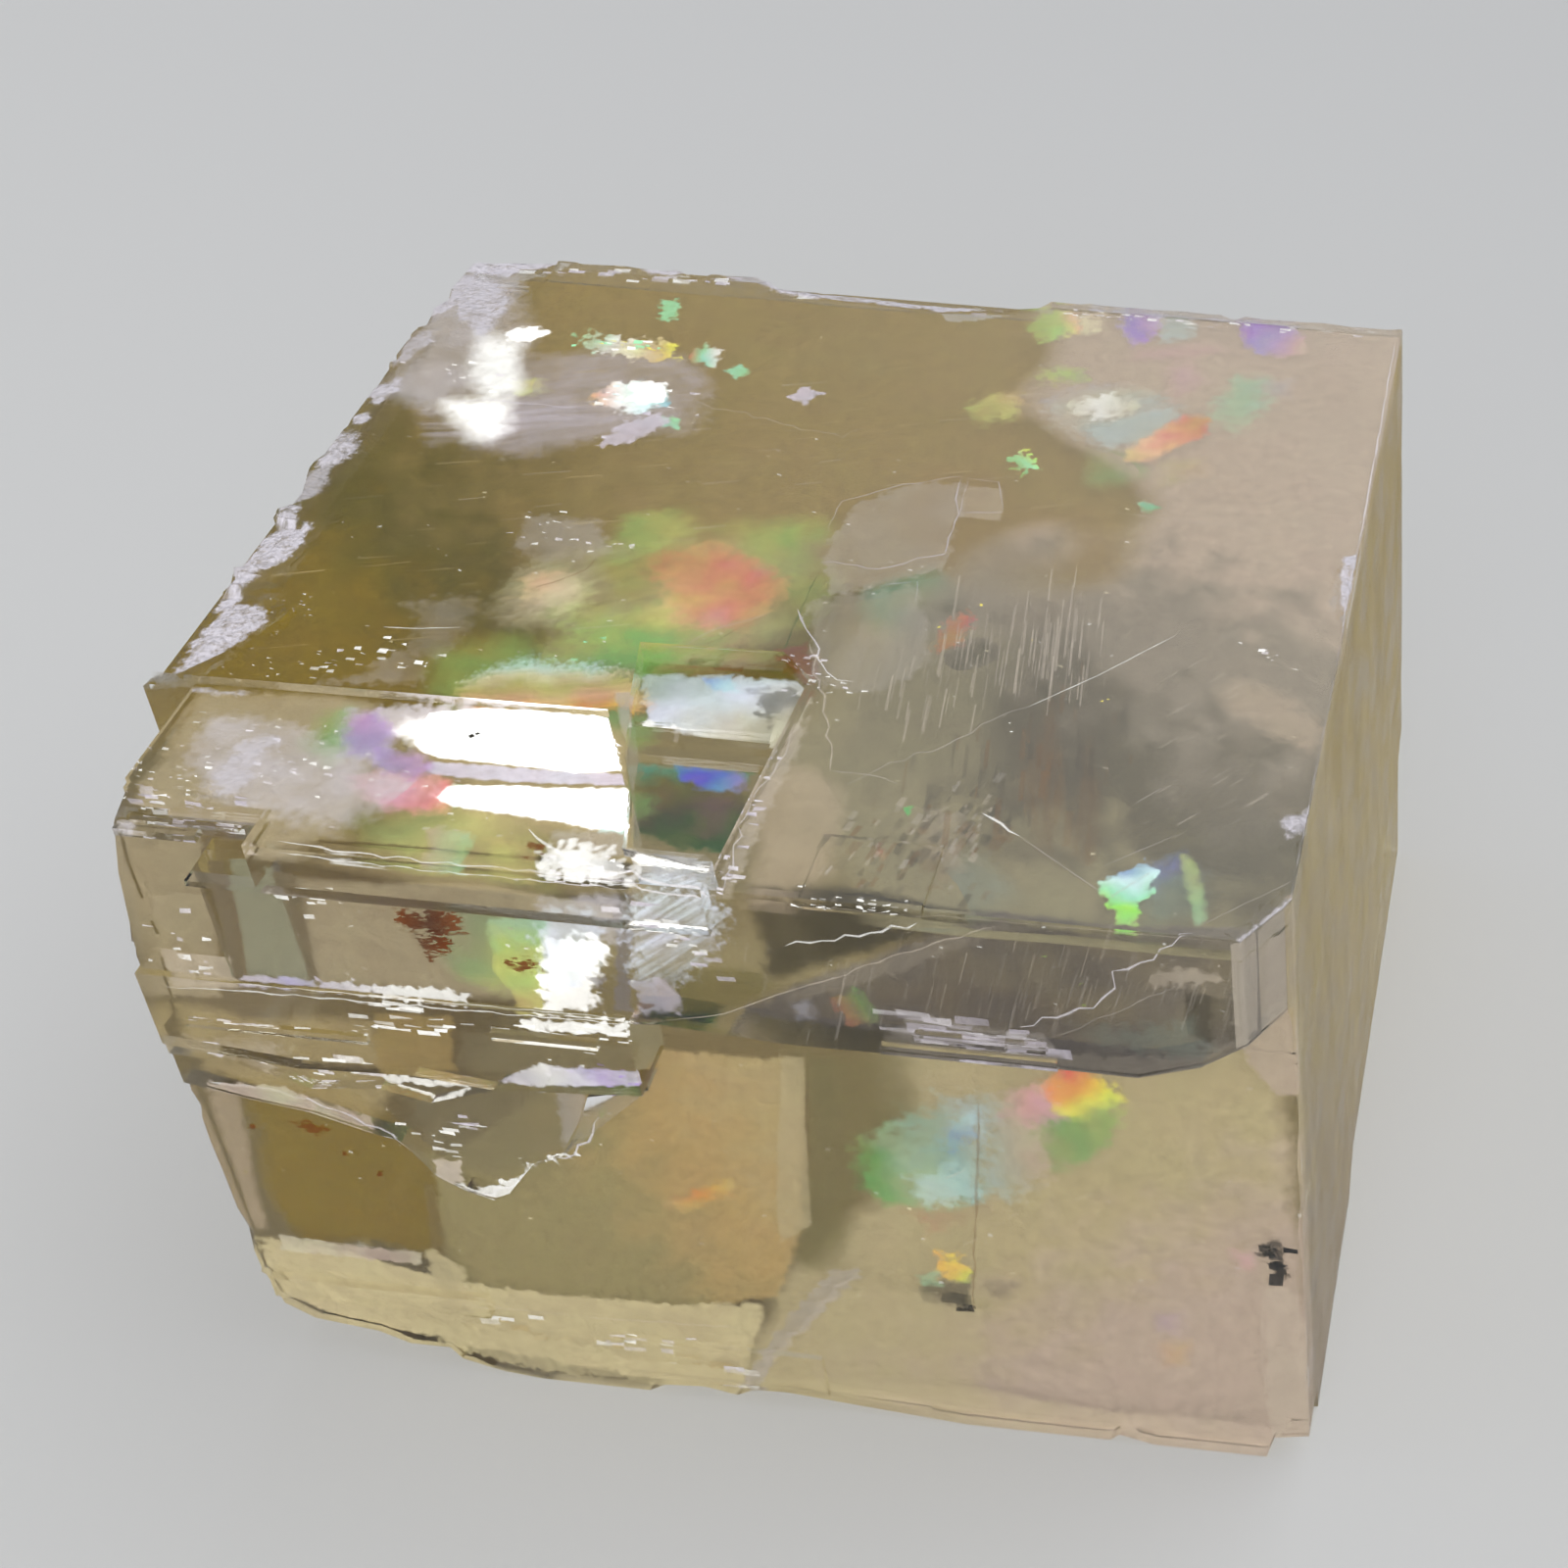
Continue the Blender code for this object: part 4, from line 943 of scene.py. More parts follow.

# Rainbow fractures: their interference colours and their glow are painted reflections of lamp light off
# thin cracks.
RAINBOWS = looks(sheet, """
# The fracture behind the pit, coral through yellow to green.
top 1.5 peach salmon coral_dull salmon | 48.2,22.8 48.5,27.6 45.9,30.2 43.1,28.8 41.2,25.1 42,21.5
  44.7,20.5 47,21.2 | run 47.2,20.5 42.7,28.6 cover .62 soft 2.8 ragged .9 glow .1 mist .25
top 2.4 cream lime_soft honey lime_dull | 59,26 49,33 41,33 37,23 43,17 51,18 57,21 | cover .42 soft 5
  ragged 1 glow .06 streak .3 fine 1.2 grain 141 run 56.8,22.4 38.4,26.1
top 1.9 peach salmon | 48,26 46,29 44,27 42,24 44,22 46,23 | cover .4 soft 3 glow .1 run 45.9,22.3 44,27
top 2.3 lime_soft lime_dull green_soft dark_green | 54,22 52,24 47,24 44,21 43,18 45,15 48,15 51,16
  54,18 | run 50.1,23.4 46.6,15.4 cover .7 soft 3.6 ragged .9 glow .07 mist .25
top 2 green_soft | 51.2,20.6 48.3,21.2 45.1,20.2 45.1,18.7 47.5,17.8 50.2,18.6 | cover .5 soft 2.4
  glow .1
top 1.8 yellow_dull lime_soft | 49.2,22.8 47.3,24.4 45.5,23.4 45.1,21.2 46.7,20 48.7,20.8 | cover .62
  soft 2.4 glow .18 mist .25
top 2.1 peach cream lime_soft | 58,25.1 56.1,27 52.9,26.3 52,23.8 53.6,21.4 56.5,22.3 |
  run 57.8,25.1 52.5,23 cover .62 soft 2.4 ragged .8 glow .2
top 2.6 lime_soft lime_dull olive_tan | 49,33 46,36 41,34 39,30 40,27 46,30 | run 48.6,33.3 39.4,27.1
  soft 3.6 glow .08 mist .15 ragged .3
top 1.6 lime_dull lime_soft | 54.8,32.8 52.9,34.1 50.6,33.6 49.5,31.4 50.9,29.6 53.4,29.7 | cover .4
  soft 2.2 glow .08 run 54.1,31.3 49.9,31.9 mist 0
top 2.6 olive_tan | 42,25 39,24 38,21 40,19 42,21 | cover .4 soft 3 glow .04 ragged .3
top 2 cyan_white cream yellow_dull peach orange dark_red | 58.2,13 55,16.1 51,16.2 47.3,15.3 45.8,13.9
  48.1,12 51.8,10.5 55.8,10.4 | run 52.9,16.2 51.6,10.5 cover .75 soft 1.8 ragged .8 glow .12 streak .3
  mist .2 fine 2 grain 163
top 2.5 lime_dull | 61,17 57,19 53,17 54,13 58,11 | cover .45 soft 3.4 glow .04 mist .35 ragged .3
top 2.8 green_soft teal_green | 52.2,13.2 47.9,14.2 45.6,13.3 46,11.7 50,11 | cover .45 soft 1.8
  glow .06 ragged .3
# In the pit: a brown riser, a bluish floor with a fibrous strip, and a dark rainbow in front.
top 1.3 brown_red brown | 45.5,16 44.7,17.7 38.1,18.4 35.6,19.5 34.6,16.6 36.6,15.8 40.5,15.8 45.1,15.2
  | cover .8 soft .4 ragged .3 mist .15 run 45.6,16.4 35.1,17.8
top .9 brown_red | 38.3,19.1 36.5,19.9 34.6,16 34.1,13.1 35.6,14.9 | soft .6
pit_back .5 cyan_grey bluish_white cream_grey | 47.4,17 41.4,17.8 36,17.4 35.2,14.8 35.5,12 37.5,11
  42.3,11.6 45.5,12.5 | run 44.2,17.4 40.2,11.4 cover .9 soft .5 glow .1 mist .15
pit_back .35 blue cyan_white | 43.3,17.2 41,17.6 39.8,16 41.8,15.5 | cover .55 soft .7 ragged .6
  glow .15 run 43.2,17 39.9,16.4 mist 0
pit_back .3 deep_smoke brown | 39.3,16.8 36.4,16.9 35.2,15 36.1,13.1 38.1,14.2 39.6,15.8 | soft .6
  ragged 1.2 mist .8
pit_back .3 white grey_violet | 45.7,12.4 40.1,11.9 35.3,11.3 38,9 44.5,9.1 | cover .95 soft .3
  streak .65 glow .2 grain -174 mist 0
pit_front .5 teal_green olive deep_smoke dark_green dark_green | 45.6,10.3 42.3,10.9 37.9,10.7 37,6.4
  37.5,3.4 40.2,2.9 43.7,3.7 45,4.4 45,8.1 | run 42.3,10.7 40.8,2.6 cover .92 soft .8 glow .02 mist .15
pit_front .4 green_soft olive | 45.3,8.1 42.9,7.8 42.1,5.7 43.5,4.8 45,5.1 | cover .4 soft 1.4 glow .04
pit_front .35 teal blue blue violet_soft | 43.6,10.8 37.9,10.9 37.5,9.1 39.1,8.3 42.3,8.8 |
  run 43.4,10.2 37.6,10 cover .7 glow .1 mist .1
pit_front .35 violet_brown | 40.4,7.6 38.3,7.9 37.4,4.5 39.1,4.1 | cover .4 soft 1.4 ragged .6
top .9 grey_veil | 47.5,13.3 45.7,13.5 43.2,5.8 44.3,7 46.3,10.5 | soft .3 ragged .2 mist 0
# Right of the pit.
top 1.3 red_dull coral_dull | 28.4,21 27.9,23.9 26.7,25.2 25.8,24.1 26.2,21.3 27.4,20.4 | cover .75
  ragged .7 glow .05 streak .4 fine 2 mist .15 run 28,21.1 26.1,24.7
top 2.2 teal_green | 34,27 30,31 27,28 28,22 31,22 | cover .4 soft 3.2 glow .04 ragged .3
top .8 green_soft mint lime | 27.7,43.1 26.7,44 25.6,42.6 26.1,41.2 27.2,41.9 | cover .9 soft .3
  ragged 1.2 glow .25 mist .4 run 27.3,41.9 25.9,43.6
top .8 mint teal_green | 17.6,38.6 16.7,39.2 15.2,38.3 16.2,37.4 | cover .7 soft .5 ragged .3 glow .12
  run 17.6,38.6 15.2,38.2 mist 0
top .9 blue_soft cyan_white mint lime lime_soft | 12.3,0.3 9.7,2.7 8.8,1.8 8.7,0.1 9.4,-0.8 9.1,-2.8
  10.5,-3 | run 10.8,2.1 10,-2.7 cover .9 soft .35 glow .25 mist .1
top 1.3 blue_soft haze_teal olive_grey | 10.5,1.8 7.9,3.9 6,2 5.1,-2.5 8.7,-3 | run 9.8,2.6 6.7,-2.7
  cover .5 soft 2 glow .05
top .8 lime_soft mint_soft | 7.5,3.2 6.8,2.8 5.2,-2 5.5,-2.6 | soft .6 ragged .2 glow .12
  run 7.1,2.9 5.3,-2.6
top 1.4 coral coral_dull | 27.1,2 26.6,2.6 25.9,1.5 26,0.2 | soft .8 ragged .6 glow .08 mist .2
top .8 green_soft | 25.9,5.2 25.2,5.3 25.3,4.4 | cover .85 soft .3 ragged .3 glow .15 mist 0
top 2.2 haze_teal | 10,9 3,12 0,6 5,2 8,3 | cover .4 soft 5 ragged .3
top 1.6 haze_teal | 24.2,1.5 19.6,3 16.8,-0.9 21.2,-2.7 | cover .35 soft 2.5 mist .4 ragged .3
slab .6 coral_dull green_soft | 28.4,8.5 27.4,7.8 26.7,9.3 28,10.2 | cover .4 ragged .8 glow .06
  run 28.4,9.3 26.8,8.5 mist 0
# Upper right.
top 1 lime_dull lime_soft peach | 30.4,61.2 29.4,63.8 27.3,63.3 26.4,60.7 28.9,58.9 | cover .7 soft 1.3
  ragged .9 glow .08 run 29.8,61.2 26.3,61.8
top 1.1 cream pink_dull | 27.3,62.7 24.7,63.6 23.8,61.1 26.1,59.9 | cover .55 soft 1.4 ragged .8
  glow .06
top 1 violet_soft violet violet_soft bluish_white | 23.1,62.1 22,64.4 20,64.7 19.6,60.6 21.7,58.8 |
  cover .65 soft 1.4 ragged .8 glow .1 mist .2 run 22.5,60.9 19.5,63.2
top 1.1 cyan_grey teal_pale | 20.2,64.6 17.3,64.8 17.1,61.8 19.3,60.3 | cover .65 soft 1.3 ragged .7
  glow .1 mist .2
top 1 violet violet_soft pink_dull tan_pink | 13.1,64.8 10.3,64.6 6.3,60.2 9.1,59.5 11.6,60 | cover .72
  soft 1.5 ragged .8 glow .1 mist .15 run 12.4,63.1 6.4,59.9
top 1.3 pink_dull | 21.8,59.5 15,61.3 13,59.8 17.5,57.7 21.4,57.4 | cover .4 soft 1.6 mist .35 ragged .3
top 1.2 lime_dull lime_soft lime_dull | 29.1,54.3 27.1,56.6 24.2,56.2 23.9,54 27.5,52.6 | soft 1.6
  ragged .8 glow .05 mist .25 run 28.9,54.1 23.8,55.4
top 1.2 lime_soft yellow_dull peach_dull | 32.8,48.9 31.5,51.2 28.9,51.9 28.7,48.9 31,47.3 | soft 1.6
  ragged .8 glow .08 run 32.5,48.6 28.6,50.8
top 1.4 haze_blue cream_grey cyan_grey frost_tan | 26.5,51.4 23.9,54 20,54.3 17.1,52 17.1,49.3 19.1,45.6
  22.8,45.3 25.4,47.9 | run 25.9,52.6 19.2,46.1 soft 2.4 ragged 1.2 glow .05 streak .4 fine 1.6 mist .35
  grain 154
top 1 cream_grey white cream_grey | 24.8,50.8 21.9,52.1 20.2,51 22.2,49.3 24.1,49.6 | soft 1.2
  ragged 1.2 glow .15 mist .35 run 24.7,50.3 20.1,50.7
top 1.1 cyan_grey mint_soft | 21.8,47.5 16.8,51.2 16.4,49.7 18.7,47.2 20.7,45.9 | cover .5 soft 1.4
  ragged .8 glow .06 mist .25
top .9 peach_dull peach salmon coral_dull | 19.3,43.5 19.4,45.3 17.7,47.9 15.7,50.3 13.7,50.3 13.1,48
  17.1,43.6 | run 18.8,44.1 13.7,49 cover .8 ragged .4 glow .08 mist .1
top 1.2 mint_soft | 14.3,52.9 12.7,56.5 10.2,56.5 9.7,52.8 11.3,49.6 13.4,50.3 | soft 2.2 ragged .8
  glow .04 mist .2
top 1.2 haze_blue | 11,56.4 8.2,56.6 7.6,53.6 10,53 | cover .4 soft 1.8 mist .35
top 1.3 pink_dull | 19,56.9 16.5,59.3 14.8,55.6 16.9,52.3 | cover .45 soft 2.2 mist .25
top 1.5 mint_olive | 22.9,45.6 19.6,46 18.3,43.4 20.9,41.8 | cover .55 soft 2 mist .25 ragged .3
top 1.6 yellow_dull | 17.5,45.6 12.4,47.1 11.6,42.9 16.1,41.2 | cover .35 soft 2.4 mist .35 ragged .3
# Upper left.
top .8 mint white cream yellow | 65.5,54 64.6,54.7 57.1,54.1 56.9,52.2 60.1,51.6 63.8,52.3 |
  run 65,53.8 57,53.3 cover .85 soft .7 ragged 1.2 glow .35 streak .45 mist .35 grain -179
top .9 peach_dull white cyan_white teal | 61.5,46 60.4,48.1 58.3,48.8 55.9,48.7 54.8,46 57.4,44.2
  60.3,44.6 | run 61.1,45.8 55.3,47.7 cover .85 ragged 1 glow .45 mist .2
top 1 pale_lime mint | 69.1,47.9 65.8,48.2 64.7,46.3 67.1,45.2 | ragged .7 glow .15 mist .2
top .9 mint | 55.5,44.7 53.5,44.3 53.1,42.7 54.5,42.8 | cover .7 soft .5 glow .2 mist 0
top .9 mint white | 60.5,60.1 59.3,60.5 58.4,57.7 59.6,57.5 | cover .75 soft .6 ragged .7 glow .25
  mist .2
top .9 coral_dull mint white | 56.1,53.4 55.1,54.7 53.5,53.8 53.5,51.8 55.3,51.9 | cover .75 soft .6
  ragged .8 glow .2 run 55.8,52.9 53.7,53.8
top .9 mint yellow | 52.5,51.2 51.5,52 50.5,51.2 51.2,50.1 | cover .65 soft .5 ragged .6 glow .2 mist 0
""", cover=0.6, soft=0.9, ragged=0.5, mist=0.3)

# Bright fractures: the glow of their white and coloured sheets is painted reflection of lamp light.
# Bright white spots on the far left of the top, glowing: painted highlights.
# The blown-out fracture under the ledge, parted by a grey bar, with coloured ends. Its white glow is a
# painted reflection of lamp light off the fracture.
WHITES = looks(sheet, """
# The blown-out fracture under the ledge, parted by a grey bar, with coloured ends.
plate .6 white | 58.2,6.3 57.9,8.4 54.8,9.3 50.2,9.5 46.2,9.5 45,8 43.5,4.9 45.7,4.3 55.3,4.2 57.1,4.7 |
  cover 1 ragged .15 glow 1.3
plate .62 white | 59.9,6.2 59.5,8 57.1,8.7 55.3,4.2 58,4.6 | cover .9 soft 1.4 ragged .4 glow .9
plate .65 white | 53.9,1.8 50.1,2.6 42.6,3.3 41.6,1.4 41.5,-0.2 44,-0.3 52.3,0.1 54.4,0.6 | cover 1
  soft .35 ragged .2 glow 1.3
plate .8 lilac grey_veil | 56.5,4.1 43.2,4.6 42.6,3.4 53.4,2.9 56,3 | cover .9 ragged .2 glow .1
plate .9 frost white | 61.4,8.6 56.2,9.6 50.3,9.6 55.5,8 59.4,6.3 60.9,6.8 | soft .8 ragged .8 glow .2
  mist .2
plate .8 mint_olive green_soft mint_soft | 64.6,4.7 64.5,7.5 63.3,8.3 61.2,4 62.3,3.1 | soft 1.8
  glow .05 mist .2 run 64.8,5.3 62.2,6.1
plate .8 lilac violet_soft violet_soft lilac | 63.8,8.4 60.9,8.6 59.1,6.1 58.9,3.4 61.6,4 | cover .75
  soft 1.3 glow .12 mist .1 run 63.8,8.2 58.5,4.3
plate .75 violet_soft pink_dull | 60,4.8 57.2,4.4 55.6,3.5 56.4,2.4 58.7,3 | soft .9 glow .08
plate .8 pink_dull pink coral_pale | 61.5,2.5 58.1,2.6 54.4,2 53.7,0.3 56.7,0.1 59.8,0.9 | cover .75
  soft 1.2 glow .1 run 60.9,1.8 54.2,1.1
plate .75 white mint | 55.5,2.2 53.2,2.3 52.4,0.5 53.9,0.4 | cover .85 soft .6 ragged .6 glow .4
  run 55.1,1.5 52.6,0.8
plate .6 cyan_white green | 43.8,2 41.8,2.1 41.5,-0.4 43.2,-0.6 | soft .5 ragged .4 glow .3
plate 1.6 olive pale_lime olive | 59.9,-0.4 52.2,0 46.3,-0.7 45,-4.1 52.4,-4 58.2,-3.4 | cover .5 soft 2
  glow .05 mist .2 run 59.3,-1.7 45.6,-2.5 ragged .3
plate 1 pink_dull mint | 54.2,-1.5 53.1,-1 50.9,-2 50.5,-4.3 52.6,-4.2 | cover .4 soft .8 mist .2
  run 53.6,-2.7 50.8,-2.5
plate 1 yellow_dull mint | 49.7,-2 47.1,-2 45.7,-4.6 48.2,-4.5 | cover .45 soft .9 mist .2
plate .5 white frost | 46.1,-3.2 44.5,-2.1 41.8,-2.6 40,-3.7 39.8,-4.9 45.3,-4.7 | cover .85 soft .8
  ragged 1.3 glow .25 mist .5
plate .7 grey_veil | 46.1,-1.2 41.4,-0.6 40.8,-2.2 44.8,-2.3 | cover .5 soft .8 mist .3
# The slab's front.
slab 1 frost haze_blue | 46.5,2.4 41.8,1.5 42.4,4.8 47.1,5.3 | cover .55 soft 1.2 ragged .6 mist .3
slab .6 mint_soft lime_soft lime_soft yellow_dull | 50.1,4.8 46.6,4 48.3,11.7 50,11.9 50.1,9.8 50.6,8.6
  | run 49.5,4.8 48.6,11.1 cover .8 soft .5 ragged .2 glow .14 mist .1
slab .5 white | 47,5.5 43,4.6 42.9,6.5 44.3,9.1 44.2,11.1 48.5,11.7 | cover .9 soft .5 ragged .8
  glow .55 mist .25
slab .55 bluish_white haze_blue | 46.6,3 43.2,1.8 42.3,4 43.3,8 46,9.1 47.6,7.7 | soft 1 ragged 1.2
  glow .15 mist .5
slab .7 mint_tan mint_olive lime_soft | 53.8,4.6 50,4.5 49.8,7.6 50.7,10.8 54.2,10.3 54.7,7.4 | cover .5
  soft 1.8 glow .05 mist .2 run 54,5.4 50,8.8 ragged .3
slab .45 grey_violet brown | 44.6,8.2 43.3,8 43.7,9.2 44.6,9 | cover .7 soft .4 ragged .8
slab .7 bluish_white haze_blue | 41,1.9 39.3,0.8 36.4,0.4 34.4,1.9 35.2,5.1 38.1,7.7 41.3,8.1 41.7,5.1 |
  cover .85 soft 1.3 ragged 1.2 streak .8 glow .28 mist .3 fine 1.6 grain -143 run 39.8,1.8 35.6,5.9
slab .6 lilac tan_pink | 42.2,8.3 40.2,7.5 38.5,9.1 39.2,10.7 42.2,11.1 | soft .6 ragged .6 mist .2
slab .3 lilac lilac violet_pale lilac | 68,10.7 62.9,10.4 63.1,11.4 68.4,11.7 | cover .8 soft .3
  ragged .3 glow .08 run 68.1,11 63,10.9
slab .3 lilac white white | 62.9,10.4 52.6,10.3 52.9,11.6 63.2,11.5 | cover .85 soft .3 ragged .6
  glow .15 mist .15 run 63,10.9 52.8,10.9
slab .3 white frost | 49.7,12 42.6,11.6 42.7,12.4 49.8,12.8 | cover .8 glow .3
block .3 lilac white violet_pale lilac | 52.3,17.3 49.2,15.5 42.3,15.2 42.5,16.9 49.7,17.6 | cover .88
  ragged .3 glow .12 mist .2 run 52.1,17.3 42.4,16
lobe .3 white cream | 62.5,19.9 55.7,19.8 55.8,20.3 61.3,20.7 | cover .75 glow .2
front .4 facet frost_tan | 75.7,39.9 65,40.1 65.4,41.5 76.2,41.5 | cover .7 soft .3 ragged .3 glow .08
  mist .2
lobe .3 facet lilac | 74.9,22.7 69.4,22.6 67.7,23.5 68.2,24.9 71.2,24.5 74.9,23.6 | cover .75 soft .3
  ragged .4 glow .08 mist .15
lobe .3 facet tan_pink | 67.8,23.5 63.7,24.6 64,25.7 68.2,25 | cover .65 soft .3 glow .05 mist .2
lobe .25 white frost | 62.9,29.2 57.5,30.3 55.2,29.4 53,27.5 50,26.1 55.3,31.1 58.5,31.8 60.9,30.5
  63,30.5 | cover .85 ragged .8 glow .15 mist .3
top .7 white | 71.1,53.6 70.5,54.6 68.9,54.8 67.5,54.2 68.5,52.7 70.2,52.3 | cover 1 soft .5 ragged .4
  glow .9
top .7 white frost | 73.3,53.3 69.1,52.1 67,46.3 68.8,45.2 71.3,48.4 | cover .9 soft 2.2 ragged .3
  glow .25
top .8 white white frost | 71.7,43.8 67.2,45.2 64.7,40.8 66,38.3 68.6,38.7 | cover .95 soft 2 ragged .3
  glow .5 run 69.8,42.1 65,41.5
top .6 lilac | 46.3,48.1 45.6,49.7 43.8,49.1 44.8,47.4 | cover .85 soft .3 ragged .4 glow .12
top .8 lilac white | 58.5,39.9 57.8,43 55.3,44.8 54.3,43.6 56.1,41 | cover .75 soft .5 ragged .6
  glow .15
top .8 white | 58.8,48 56.4,48.7 55.4,46.9 56.6,45.7 57.9,46 | cover .9 soft .6 ragged .6 glow .7
# The lower front.
front 1.5 green_soft mint_soft teal_pale cyan_grey | 31.1,30.2 29.8,25.2 27.1,22.2 24.3,20.6 21.5,20
  21.6,23.6 23.1,29.8 26.8,30.9 30.3,30.8 | run 30.4,27.5 22,24.1 cover .68 soft 2.2 ragged 1.2 glow .05
  mist .3
front 1.3 teal_pale blue_soft cyan_white | 25.7,25 24.3,22.3 22.3,21.2 22.2,23.6 23.6,25.6 25.5,26.3 |
  cover .55 soft 1.3 ragged 1 glow .12 mist .3 run 25.6,25.9 22.1,21.9
front 1.2 cyan_white mint_soft | 27.2,28.3 23.2,26.5 23.2,29.3 26.8,30.3 | cover .45 soft 1.2 ragged 1
  glow .1 mist .3
front 1.6 cyan_grey frost_tan pink_dull | 21.8,20.9 18.8,19.3 17.1,21.2 17.7,26.3 21.1,29.2 22.6,28.8 |
  soft 1.8 ragged 1.2 glow .05 mist .3 run 22,24.5 17.3,23
front 1.4 pink_dull pink peach | 20.4,21.6 19,18.7 17.1,17.5 15.7,18.2 16.3,21.1 18.4,22.2 | soft 1.6
  ragged 1 glow .08 mist .15 run 20,21.6 15.7,18
front 1.2 coral orange yellow lime_soft | 17,18.7 15.7,17 14.3,17 13.2,18.1 12.2,18.6 15.4,21 16.5,20.4
  | run 15.7,17.4 13.8,20.7 cover .72 soft 1.4 ragged .8 glow .14 mist .12
front 1.6 lime_soft green_soft mint_olive | 17.5,21.9 12,18.8 12.9,21.9 15,25 17.2,26.2 17.8,24.3 |
  cover .66 soft 1.8 ragged 1 glow .06 mist .25 run 12.9,19.4 17.4,26.2
front 2 coral_dull tan_pink | 29.4,31.6 21.9,29.6 22,32.7 27.3,34.6 | cover .45 soft 2 ragged .8 mist .3
  run 29.4,32 22.1,31.9
front 1.2 orange yellow green | 26.5,35.5 25.1,35.1 24,36.5 24.3,38.1 26.4,37.6 |
  run 26.3,35.4 24.4,37.9 cover .8 soft .8 ragged .8 glow .2 mist .15
front 1.2 mint_soft | 28.3,37.5 26.7,36.9 26.5,38.4 28.1,38.8 | cover .55 soft .7 glow .06
front 1.5 smoke_olive | 27.7,38.4 24.4,38.1 24.8,40.4 28.1,40.4 | cover .65 soft .6 ragged .4
front 1.7 smoke_olive | 23.4,37.8 20.7,36.8 20.7,38.7 23.3,39.7 | cover .5 soft 1.2 ragged .8 mist .3
front 1.6 peach_dull orange | 10.8,42.7 9.1,42.2 9.2,44.2 10.7,44.6 | cover .4 soft 1.6 glow .06
  ragged .3
front 1.8 violet_soft | 11.8,38.8 9,38.8 9.6,41.5 11.8,41.6 | cover .3 soft 2 glow .04 mist .3 ragged .3
front 1.4 pink | 5.3,32.2 3.7,32 3.7,33.7 4.8,33.7 | cover .35 soft 1.4 glow .06 ragged .3
front 1.9 peach_dull orange peach_dull | 45.8,33.6 43.7,31.8 40.7,30.4 40.7,31.3 44.9,34.2 | cover .5
  soft 1 glow .08 run 45.8,33.6 40.6,30.8
front 2.4 lime_dull | 52,28 49,25 47,29 51,34 53,34 | cover .35 soft 3 mist .25 ragged .3
""", cover=0.6, soft=0.25, ragged=0.5)
